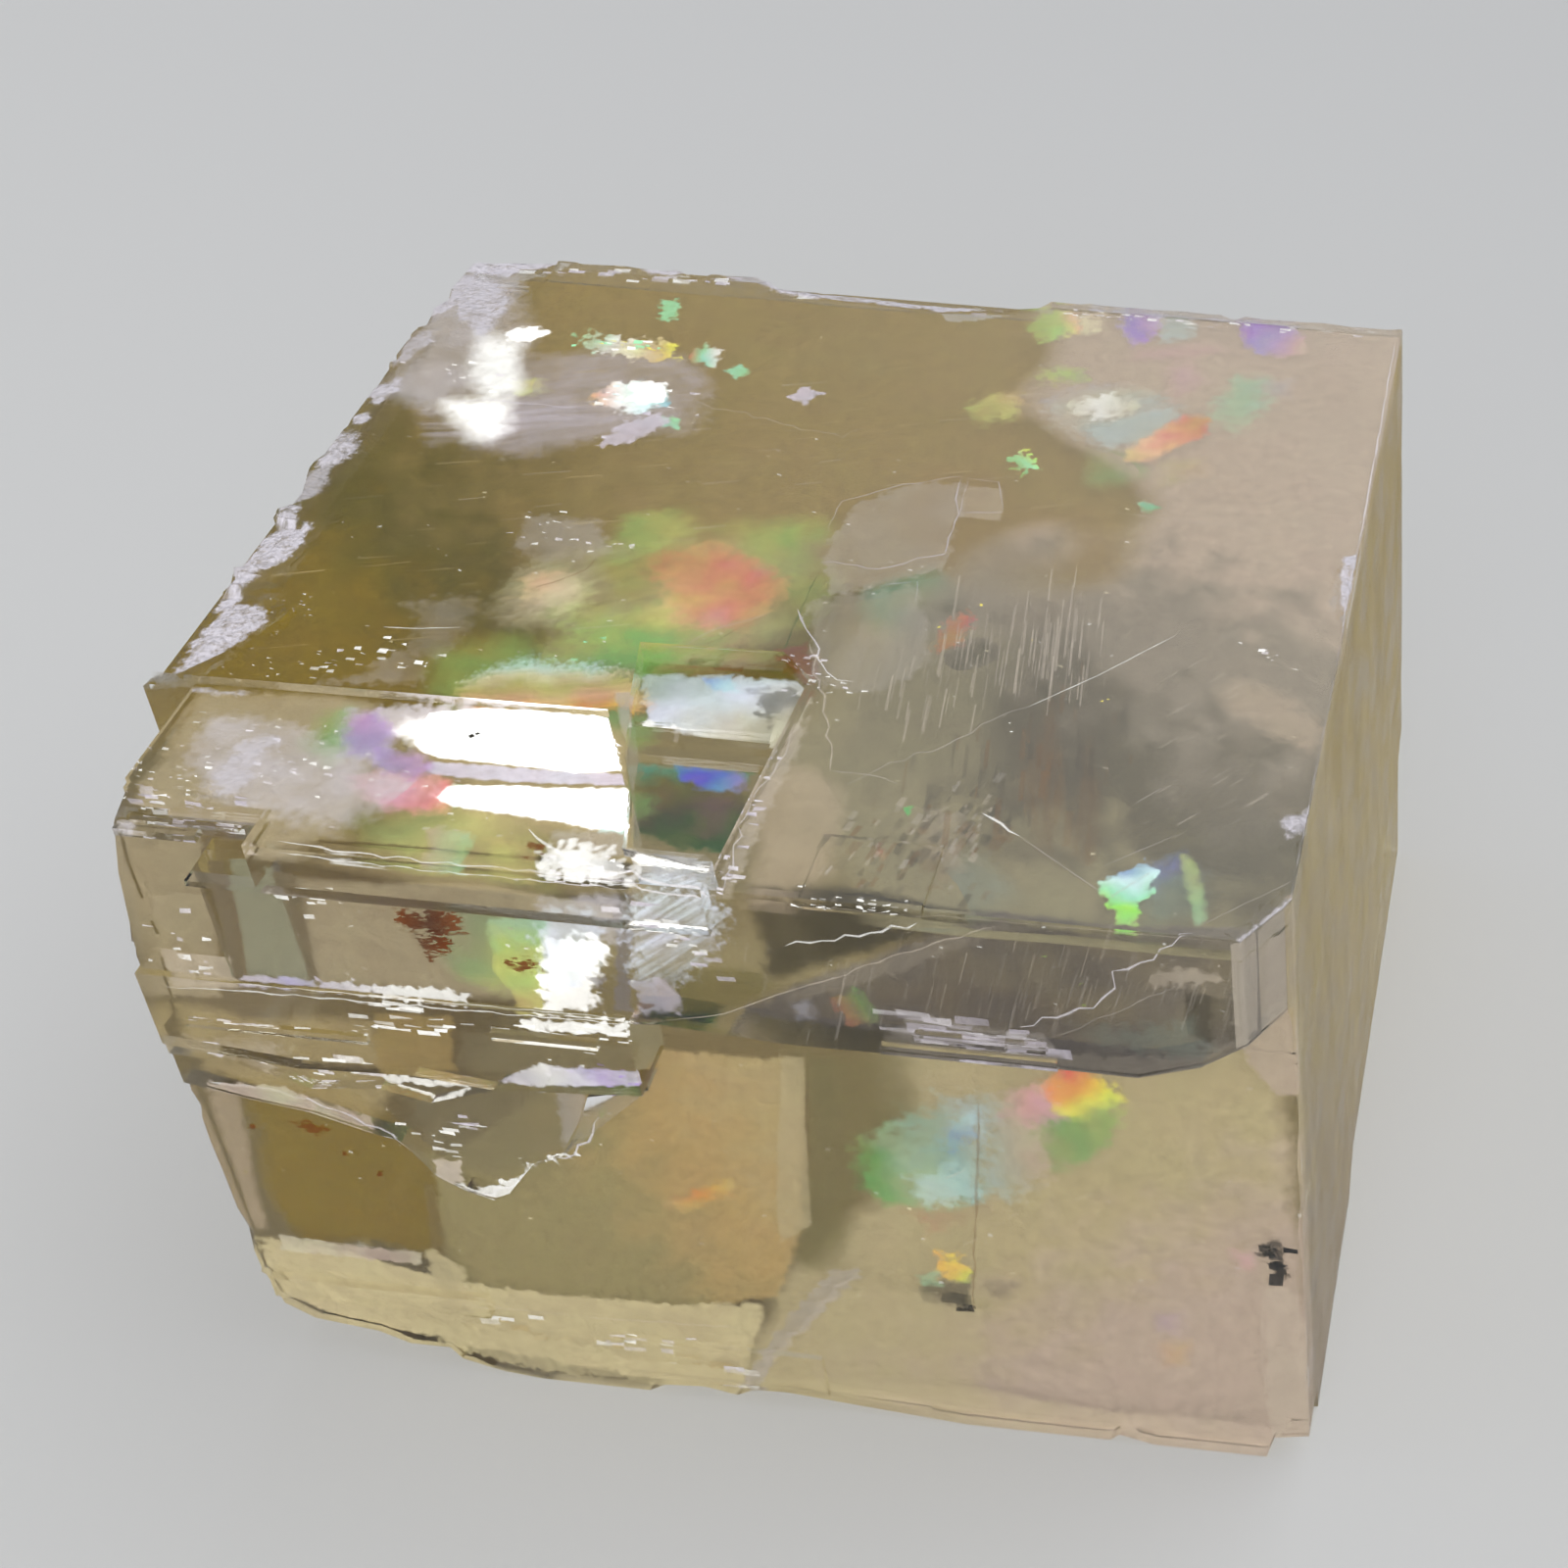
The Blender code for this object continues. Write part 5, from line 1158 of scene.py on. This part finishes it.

# Edges and cracks of the slab; the glowing white lines along the edges are painted highlights.
# The right edge's bright rim, a painted highlight along the edge.
LINES = looks(line, """
# Cracks and scratches on the top.
top .3 brown | 56.9,22.4 53.8,25.2 53.6,26.8 52.5,27 | cover .68
top .3 dark_green | 37.7,27.4 37.6,18.4 | jag .05
top .3 brown | 43.2,18.1 39.8,22.1 | width .11 cover .56
top .2 white | 65,17.2 62.4,17.4 59.9,17.9 | width .12 glow .17 jag .05
top .2 lilac | 38.3,31.7 38.3,35.4 34.5,38 30.4,39.6 | width .11 cover .48 jag .2
top .2 lilac | 30.4,39.6 29.6,34.1 29.4,30.3 33.6,28 37.7,28.2 | cover .6 jag .3
top .2 lilac | 29.9,39.4 27.6,39.3 26.4,35.7 29.5,35.2 29.9,39.4 | width .1 cover .56 jag .05
top .2 lilac white | 37.9,22.9 36.7,20.9 35.7,19.7 34,16.7 32,16 | width .25 cover .68 glow .07 jag .35
top .2 lilac | 33.1,26.1 30.5,27 30.1,24.8 | width .1 cover .48
top .15 white | 19.9,15 15.9,18.8 11.5,23.6 | width .1 glow .17 jag .02
top .2 grey_veil | 29.6,6.3 27.5,8.6 24.4,10.6 22.5,13 19.9,15 | width .15 cover .56 jag .25
top .15 white | 20.5,4.8 17.7,3.1 | width .25 cover .76 glow .17
top .15 grey_veil | 17.7,3.1 11.6,-1.1 | width .09 cover .56 jag .03
top .15 grey_veil | 12,1.2 8,4.5 | width .09 cover .56 jag .02
top .15 grey_veil | 0.2,1.5 5.2,-3 | width .1 cover .56 jag .05
top .2 grey_veil | 59.1,48.4 52,45.8 40.5,43.1 39.3,44.5 | width .12 cover .36 jag .3
top .2 lilac | 71.6,43.3 68.3,44.1 60.6,44 | width .15 cover .64 glow .07
top .2 brown | 73.1,60 73.1,55.2 72.7,52.7 | width .19 cover .64 jag .15
top .2 dark | 14.5,47 12.6,46.9 | width .12 cover .48 jag 0
top .2 grey_veil | 18.9,36.9 13.7,36.5 7.2,36.4 | width .09 cover .4 jag .05
top .2 grey_veil | 15.7,43.5 14.5,37.5 | width .09 cover .32 jag .05
# The right edge's bright rim.
top .1 frost | 0.4,61.7 -0.1,17.8 0.1,0 | width .19 cover .76 glow .09 jag .05
right .15 frost_tan | -0.3,0.4 1.6,20.6 2.7,46 | width .22 cover .64 glow .03 jag .05
# Edges and cracks of the slab.
top .15 white frost | 47.8,-0.7 44.5,-2.9 34.4,-4.5 | width .31 glow .14 jag .25
top .2 black | 28.2,-3.6 26,-3.1 21,-3.6 | jag .12
top .15 frost_tan | 29.7,-4.5 24.3,-4.8 2.5,-4.3 | width .19 cover .68 glow .03 jag .08
slab .3 white | 31.2,4 26.4,2.7 22.6,1.2 | width .22 glow .14 jag .3
slab .3 frost | 5.5,-0.1 8.9,2.6 10.7,3.5 10.6,4.8 12.1,6.6 16.9,8.7 | width .22 glow .09 jag .3
slab .3 grey_veil | 6.4,3.9 14.6,9.2 | width .11 cover .56
slab .3 frost_tan | 40.5,11.3 36,10 32.5,8.1 28.4,6.2 23.9,3.7 17.7,0.9 | cover .64 glow .02
slab .3 white | 73.4,12.3 68,12 41.7,11.6 | width .17 glow .12
top .1 white frost | 62.4,-3.7 58.8,-4.1 50.7,-4.3 46.4,-4.1 40.3,-4.2 | width .22 glow .14 jag .2
# Lobe and layer edges.
lobe .25 white frost | 62.6,28.3 61.6,30 59.7,31 57.7,31.3 55.3,30 53.1,27.9 | width .56 glow .12 jag .5
lobe .25 frost | 53.1,27.9 50.7,26.7 48.7,24.9 47.4,22.2 | width .25 cover .64 glow .07 jag .3
lobe .25 white frost | 74.7,22.8 71.5,22.9 68,23.4 66,24.3 | width .37 cover .68 glow .1 jag .2
lobe .25 frost | 66,24.3 62.7,26 62.4,28.3 | width .43 cover .68 glow .09 jag .4
# Lower front.
front .3 brown | 21.7,19.9 24.2,39.9 | width .31 cover .4
front .3 frost_tan | 32.7,37.9 35.2,40.7 41.2,48.8 43.4,51.3 | width .81 cover .48 glow .02 jag .4
front .2 dark | 2.3,18 1.1,18 | cover .64 jag 0
# More cracks, facets and seams.
top .2 frost_tan | 36,19.4 32.3,11.4 31.1,7.4 | width .22 cover .55 jag .3
top .25 frost_tan frost | 34.4,11.9 34.6,6.9 35.4,4.3 34.5,-4.2 | width .16 cover .7 jag .25
top .25 frost_tan | 35.7,11.9 35.8,7.6 36.5,5.2 36.2,0 35.5,-3.8 | width .12 cover .5 jag .25
top .2 frost | 46,17.4 44.8,17.9 41.3,18.2 37.9,18.2 | width .12 cover .7 jag .08
top .2 grey_veil | 31.1,7.4 27.6,7.2 26.2,6.6 | width .12 cover .5 jag .15
top .25 grey_veil | 44.2,18.3 42.8,20.1 39.6,22.3 | width .1 cover .5
front .25 facet | 2.9,33 3.3,41 3.1,47.2 2.6,50.5 | cover .6 jag .08
front .25 facet | 0.7,32.7 0.6,40.6 -0.2,46.7 | width .12 cover .5 jag .08
front .25 black | 2.4,40.2 1.1,40.2 | width .2 cover .7 jag 0
top .25 deep_smoke | 7.6,36.4 6.8,36.3 | width .3 cover .6 jag 0
front .25 frost_tan | 75.9,39.8 64.8,40 | width .1 cover .6 jag .05
front .3 facet | 54.7,45.1 41.5,44.4 | cover .6
front .3 facet | 63.1,44.8 59.5,45.1 54.7,45.1 | cover .5 jag .12
""", width=0.14, cover=0.72, jag=0.1)

# Bright flecks with glow are painted glints of lamp light on cleavage flats; the dark ones are flats and
# strokes of their own colour.
# Specks and fine striations all over, the bright specks painted glints, and the crushed crumbs of the back
# edge.
GLINTS = looks(glints, """
top .4 white bluish_white | 60.8,30.7 58,31.2 | count 8 spread 1 size .5 glow .2
top .4 white frost | 60.1,28 54.3,27.8 | spread 1.6 size .45 glow .2
top .4 white frost | 54.7,28.1 51.1,28.1 | count 7 glow .35
top .4 white mint | 52.7,14.6 48.7,19.3 | count 6 spread 4 size .37 glow .3
top .3 white frost | 68.1,12.1 63.9,15.4 | spread 1.2 size .5 glow .25
top .3 white | 63.9,15.4 60.4,13.8 | count 12 spread 1.5 size .5 glow .35
top .5 mint white yellow | 64.8,53.1 57.2,53.3 | count 26 spread 1.4 glow .45
top .5 white cyan_white | 60.6,46.1 55.6,47.4 | count 21 spread 1.5 glow .5
top .5 white frost | 72.2,47.8 66,46 | spread 1.6 glow .35
top .4 white frost | 76.4,52.1 70.1,44.7 | count 9 spread 2.5 size .37 glow .25
top .3 white | 72,24.8 63.2,27.7 | count 12 spread 5 size .16 glow .2
top .3 white frost | 75.6,14 70.7,20.5 | count 26 spread 2 size .22 glow .3
top .3 white | 73,10.8 69.7,13.8 | count 16 spread 2 size .25 glow .3
top .3 white yellow | 28.1,24.3 17,11.6 | count 16 spread 6 size .19 glow .25
top .4 frost white | 37.5,18.7 32.5,15.3 | count 24 spread 2 size .43 glow .25
top .4 frost lilac | 36,11.4 34.7,-3.7 | count 48 spread 1.1 size .68 glow .2
top .4 white | 29.5,-3.5 22.9,-3.4 | count 19 size .43 glow .4
plate .3 white frost | 73.6,0.9 67.8,0.8 | count 26 spread 3 size .43 glow .35
plate .3 frost white | 68.4,3.4 62,0.6 | count 28 spread 3 size .43 glow .25
break .3 frost lilac white | 73.8,0.6 65.3,0.7 | count 40 spread 1.2 size .9 glow .08 slim .3
slab .3 white | 62.4,3.7 59.8,4.5 | count 10 spread 1.4 size .74 glow .35
slab .3 frost white | 72.8,8.4 69.1,11.2 | spread 2 size .74 glow .2
block .3 white | 61.8,13.8 42.6,12.4 | count 31 size 1.24 glow .3 slim .2
lobe .3 white frost | 75.1,19 68.6,19.6 | count 24 spread 1 size 1.12 glow .3 slim .2
lobe .3 white frost | 66.4,19.5 61.3,20.5 | spread 1.2 size 1.12 glow .25 slim .2
lobe .3 white | 62.9,27 55.6,25.1 | count 12 spread 2.5 size .74 glow .25 slim .25
slab .4 frost lilac | 24.7,9.5 15.1,10.4 | count 40 spread 1.1 size 2.2 glow .03 slim .24 cover .6
slab .4 lime_dull frost | 16.4,3.5 11.7,5.7 | count 7 spread 1.5 size .3 glow .05 cover .6
block .3 lilac violet white | 48.9,16.1 42.7,16.2 | count 28 glow .2
front .4 frost white honey | 61.2,46.1 40.9,49.3 | count 24 spread 1.5 size 1.49 glow .05
front .4 white yellow | 74.4,27 67.8,42.4 | count 9 spread 5 size .19 glow .15
right .3 frost_tan white | 13.1,10.5 42.2,5.1 | count 48 spread 7 size .31 glow .1
right .3 frost_tan white | 3,44.2 22,27.5 | count 48 spread 5 size .31 glow .1
front .3 dark black | 2.5,30.8 1.6,33 | count 40 spread .9 size .8 slim .9 cover 1
front .5 smoke dark | 26.9,38.7 24.3,39.9 | count 9 spread .6 size 1.12 slim .6
plate .35 white frost | 45.5,-3.7 40.1,-4.3 | count 40 spread 1.1 size .6 glow .4 slim .5
top .3 white frost | 6.4,23.3 2.8,22.2 | count 8 size .4 glow .3
right .2 cream white | 0.5,27.5 5.3,29.1 | size .7 glow .2 slim .6
slab .35 white | 61.3,3 58.7,4.1 | count 8 spread .7 size .9 glow .5 slim .3
slab .35 white frost | 60.8,12.3 56.8,12.2 | count 8 spread .4 size 1.4 glow .3 slim .2
lobe .3 white lilac | 58.8,24.6 55.5,24.5 | count 10 size 1 glow .3 slim .3
middle .3 white frost | 65.5,18.1 61.3,18.9 | count 12 spread .9 size 1.4 glow .3 slim .25
slab .4 frost lilac white | 40.2,2.2 35.6,6.3 | count 30 spread 1.6 size .9 glow .15 slim .3
top .5 lilac frost | 59,39.8 54.7,47 | count 16 spread 2 size .5 glow .2 slim .5
# Strokes of the hatched middle, and dark angular flats at its foot.
top .5 frost_tan | 24.7,21.5 18.2,21.4 | count 110 spread 5 size 3.6 slim .032 cover .42 way -98
top .6 frost_tan | 29.9,15.7 24.1,16.5 | count 36 spread 4 size 3 slim .04 cover .4 way -97
top .8 smoke brown deep_smoke | 22.1,8.1 15.8,11.7 | count 60 spread 6 size 2.6 slim .12 cover .5
  way -99
top .9 smoke brown deep_smoke olive_grey | 26.3,0.4 20,4.7 | count 130 spread 3.6 size 1.1 slim .45
  cover .55 way 103
top .7 frost_tan grey_veil | 27.2,1.1 20.2,5.6 | count 50 spread 4 size .8 cover .35 way 103
top .4 frost_tan grey_veil | 7.9,3.7 4.2,25.4 | count 40 spread 6 size 1.6 slim .06 cover .35 way 132
slab .4 grey_veil frost_tan | 31.7,7.4 1.9,4.4 | count 120 spread 4 size 2.2 slim .05 cover .3 way -107
front .5 pale_honey facet | 30.8,40 3.1,22 | count 60 spread 8 size 1.4 slim .06 cover .3 way -147
# Specks and fine striations all over, and the crushed crumbs of the back edge.
top .35 frost_tan cream white | 74.6,24.4 5.5,29.6 | count 150 spread 30 size .28 slim .5 cover .55
  glow .06
top .45 frost_tan honey | 73.2,29.2 36.7,40.5 | count 80 spread 16 size 3 slim .03 cover .3 way 164
front .35 frost_tan cream white | 72.6,33.3 2,28.2 | count 110 spread 16 size .28 slim .5 cover .5
  glow .05
slab .3 frost_tan white | 62.1,7.1 3.7,4.7 | count 60 spread 5 size .3 cover .5 glow .06
plate .3 frost white | 72.6,6.6 46.3,-0.8 | count 50 spread 4 size .4 slim .3 cover .5 glow .1
right .25 cream frost_tan | 4,8 60,44 | count 70 spread 30 size .4 slim .3 cover .5 glow .03 way 79
top .3 lilac white frost | 77.5,62.7 52.1,63.5 | count 46 spread .9 size 1.1 slim .35 glow .08
top .3 lilac white frost | 49.3,62.6 33.8,62.6 | count 60 spread .9 size 1.1 slim .35 glow .1
top .3 white frost | 33.8,62.6 2.4,63.4 | count 50 spread .7 size .7 slim .3 glow .08
""", count=14, spread=0.8, size=0.56, glow=0)

BRUISES = looks(sheet, """
# Crushed edge of the top, left side.
top 0 frost | 77.7,29.3 76.4,29.3 75.6,27.3 74.3,28.1 74.3,25.3 74.6,23.4 75.9,21.5 76.5,18.9 77.3,18
  77.7,19.7 78,22.7 | ragged .9 relief .24
top 0 frost | 76.7,18.6 74.6,18.4 72.9,16.9 74.5,13.8 76.6,10.9 77.2,12.5 77.3,16.1 | ragged .9
  relief .24
top 0 frost | 78.3,38.6 76.7,39.1 74.9,36.3 75.4,34.5 77.4,33.7 | ragged .9 relief .21 cover .9
top 0 frost | 78.1,41.1 76.7,41.5 76.4,40.1 77.5,40 | soft .45 relief .17 cover .9
top 0 frost | 78,43.6 77.9,45.5 75.8,45.8 75.5,44.2 76.7,42.6 | ragged .7 relief .21 cover .9
top 0 frost | 77.5,33.4 76.2,34.8 75.6,31.2 76.9,29.3 77.8,29.5 | ragged .7 cover .6
top 0 frost | 77.7,46.3 77.6,51.2 76.2,53.6 75.9,51 76.9,47.8 | ragged .7 cover .6
top 0 frost_tan | 78.1,53.3 76.4,58 73.9,53.9 75.8,50.8 | soft .85 ragged .8 cover .6
# The far corner.
top 0 frost | 78.6,64.7 74.9,65.6 70.6,64.8 71.2,63.6 73.4,63.3 73.9,61.7 76.5,62.4 78.1,62.1 |
  ragged .8 relief .21
top 0 frost frost_tan | 78.3,59.9 77.9,61.7 74.8,60.5 71.9,57.9 71.8,54.2 72.1,51.3 73.8,53.1 77.1,55
  78.4,55.3 | soft 1.05 relief .07 cover .85
# The back edge.
top 0 frost | 54.7,64.6 52,64.2 43.5,63.8 40.8,63.2 31.3,63.4 35,61.4 37.4,61 43.9,62.3 48.3,61.6
  51.5,62.3 | soft .5 relief .21
top 0 frost | 64,64.4 59.2,64.1 60.3,63.4 62.8,63.5 | soft .45 ragged .5 cover .9
top 0 frost_tan | 31.1,63.4 22.7,64.1 11.4,64.2 0.9,63.7 0.8,62.9 11.3,63.3 22.6,63.4 31,62.8 | soft .4
  ragged .3 relief .07 cover .7
# The right edge's chip and the front corner's chips.
top 0 frost | 0.9,33.6 0.1,34 -0.2,28 0.3,28.3 0.7,30.7 | soft .4 ragged .4
top 0 frost | 1.5,6.7 0,7.6 0.1,5.6 0.9,5 | soft .5 cover .8
top 0 frost | 2.8,-4 0,-0.2 0,-1 1.7,-3.7 2.3,-4.4 | soft .4 ragged .4 relief .1
# The plate's left end.
plate 0 frost | 75,8.2 72.6,8.6 69.4,8.2 70.5,7.7 73.1,7.5 | soft .45 relief .1 cover .6
break 0 frost | 74.8,1.7 73.9,1.4 73.3,1.9 73.8,2.7 75,2.7 | soft .45 ragged .4 relief .1
plate 0 frost | 68.3,2.5 67.7,4.9 65.3,4.9 66.5,2.3 66.1,0.1 67.1,-1.1 68.1,-0.2 | soft .75 ragged 1.2
  relief .07 cover .55
""", cover=0.95, soft=0.55, ragged=0.6, relief=0.14)

RUST = looks(sheet, """
slab -.02 rust_brown rust_dark rust_brown | 56.3,4.6 55.3,3.9 54.5,4.2 53.5,3.4 52.8,3.7 52.1,2.9
  51.8,5.2 52.7,5.1 53.6,5.9 54.2,5.3 55.3,5.6 | ragged 1.3 fine 2.4 mist .2 relief .07 streak .3
  grain -165 run 56.3,4.9 51.9,4.8
slab -.02 rust_dark rust_brown | 55.2,5.8 54.4,6 53.6,5.4 52.9,6 53.4,7.1 54,6.9 54.6,7.8 54.7,6.9
  55.1,6.5 | ragged 1.3 fine 2.4 mist .2 relief .07 run 55.1,5.9 53.4,7
slab -.02 rust_brown foot_honey | 49.6,7.3 48.7,7 47.6,7.2 48.4,7.9 49.6,7.8 | ragged 1.2 fine 2.4
  mist .2 relief .05 cover .95
slab -.02 rust_brown | 47.6,7.4 47.2,7.6 47.4,7.9 | cover .8
slab -.02 rust_brown | 57.5,3.3 57.2,3.5 56.6,4.2 57,4.4 | ragged .5 cover .7
plate -.02 rust_brown | 47,-2.7 45.9,-2.5 45.8,-3.4 46.3,-3.6 | ragged 1.1 fine 2 mist .2 relief .04
  cover .9
block -.02 brown | 41.3,9.5 40.4,9.5 40.7,10 41.2,10.1 | soft .2 ragged .5 cover .6
front -.02 rust_brown | 74.6,28.5 73.9,28.4 74.1,29.1 74.7,29.2 | soft .2 relief .04 cover .9
front -.02 rust_brown rust_dark | 71.1,27.8 69.8,27.8 68.6,28.3 69.8,28.9 70.8,28.4 | ragged 1.1 fine 2
  mist .2 relief .04 cover .95
front -.02 rust_brown | 68.3,30.2 67.7,30.2 68,30.8 68.4,30.8 | soft .2 cover .9
front -.02 rust_brown | 66.2,31.9 65.7,31.9 65.9,32.4 66.3,32.4 | soft .2 cover .85
plate -.02 dark | 54.4,6.2 54,5.8 53.4,6.5 53.5,6.8 | ragged .1 relief .02
""", cover=1, soft=0.1, relief=0.03)

VEILS += looks(sheet, """
# The back and the left side, which the photograph doesn't show, kept faint.
back 1.4 milk_tan honey | 4,4 30,3 52,8 60,22 40,34 14,30 | cover .3 run 4,10 60,20
back 2.2 amber_mid | 30,20 60,14 72,30 66,46 40,48 | mist .3
back .8 frost_tan | 10,34 34,36 30,48 12,46 | cover .4 soft 1.5 ragged 1 streak .7 fine 2 grain -32
left 1.2 milk_tan | 10,4 40,6 50,24 26,34 8,24 | cover .3 soft 4
left 1.8 amber_mid | 30,20 58,16 60,44 36,46 | soft 4 mist .3
left .9 frost_tan | 36,28 54,26 56,40 40,42 | soft 1.5 ragged 1 streak .7 fine 2 grain -39
""", cover=0.35, soft=5, mist=0.4)

# Two faint rainbow fractures on the hidden sides, their colours and glow painted reflections.
RAINBOWS += looks(sheet, """
# Two faint rainbow fractures on the hidden sides.
back 1 teal_pale lime_soft peach | 44,10 58,9 62,18 48,20 | run 44,12 62,18
left .9 violet_soft teal_pale lime_soft | 20,10 34,9 36,18 22,20 | run 20,12 36,18
""", cover=0.5, soft=1.8, ragged=0.8, glow=0.05, mist=0.3)

# White cleavage cracks on the hidden sides, with a faint painted glow.
WHITES += looks(sheet, """
# White cleavage cracks on the hidden sides.
back .6 white frost | 18,20 30,19.4 34,20.6 31,22 20,21.8 |
back .6 frost lilac | 52,30 62,28.6 64,30 54,32 | cover .45 grain -9
left .6 white frost | 13,28.6 28,27.6 29,29.4 14,30.6 | grain -4
""", cover=0.5, soft=0.6, ragged=1.4, glow=0.03, streak=0.6, mist=0.6, fine=2)

LINES += looks(line, """
# Cracks on the hidden sides.
back .2 frost_tan | 6,12 24,14 50,13 70,16 | width .14
back .2 frost | 20,48 38,40 52,30 | cover .6 jag .05
back .2 brown | 8,26 18,30 30,29 | jag .15
left .2 frost | 8,14 30,18 55,16 | width .14
left .2 frost_tan | 14,44 30,36 48,32 | cover .6 jag .05
""", width=0.12, cover=0.5, jag=0.2)

GLINTS += looks(glints, """
back .4 white frost | 18,21 36,22 | count 30
back .3 frost_tan white | 12,10 66,42 | count 40 spread 14 size .3 glow .05
back .3 frost lilac white | 50,31 66,30 | glow .08
left .3 white frost | 12,30 31,28 |
left .3 frost_tan white | 10,8 54,42 | count 32 spread 12 size .3 glow .05
""", count=24, spread=1.4, size=0.8, glow=0.1)

BRUISES += looks(sheet, """
# Rubbed edges of the back and the left.
back 0 frost frost_tan | 8,0.2 27,0.2 24,1.7 16,2.4 10,1.8 | soft .55 relief .2
back 0 frost | 46,0.2 58,0.2 56,1.2 50,1.8 | relief .16
back 0 frost_tan | 30,51.9 50,51.9 47,50.4 40,49.8 33,50.6 | cover .8
left 0 frost_tan | 20,51.9 40,51.9 38,50.5 28,49.8 | cover .8
""", cover=0.85, soft=0.5, ragged=0.9, relief=0.14)


def limit_light():
    """Few bounces are enough for this crystal, and the denoiser goes by colour alone, because its other
    passes would draw the outlines of buried sheets."""
    scene = bpy.context.scene
    scene.view_settings.view_transform = "Standard"
    scene.cycles.denoising_input_passes = "RGB"
    scene.cycles.use_light_tree = False
    scene.cycles.max_bounces = 6
    scene.cycles.diffuse_bounces = 1
    scene.cycles.transmission_bounces = 6
    scene.cycles.transparent_max_bounces = 12


def main():
    make_camera()
    make_studio()
    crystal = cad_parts["calcite_crystal"]
    crystal.data.materials.clear()
    crystal.data.materials.append(calcite())
    veils = [fracture("milky_veil", 0.5, False), fracture("streaked_veil", 0.5, True)]
    # These films paint reflections: fixed colours and glow in place of lamp light off the cracks.
    films = [fracture("rainbow_film_painted_reflection", 0.3, False), fracture("streaked_film_painted_reflection", 0.3, True)]
    make_piece("milky_veils", VEILS, veils, jitter=0.02)
    make_piece("rainbow_fractures", RAINBOWS, films, jitter=0.22)
    make_piece("white_fractures_painted_reflections", WHITES, films, jitter=0.22)
    make_piece("hairlines", LINES, films[:1])
    make_piece("glints", GLINTS, films[:1])
    make_piece("edge_bruises", BRUISES, [bruise()])
    make_piece("rust_flecks", RUST, [rust()], slot="iron_stain")
    limit_light()


main()
boxes = {"cad": cad_box, "visual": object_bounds()}
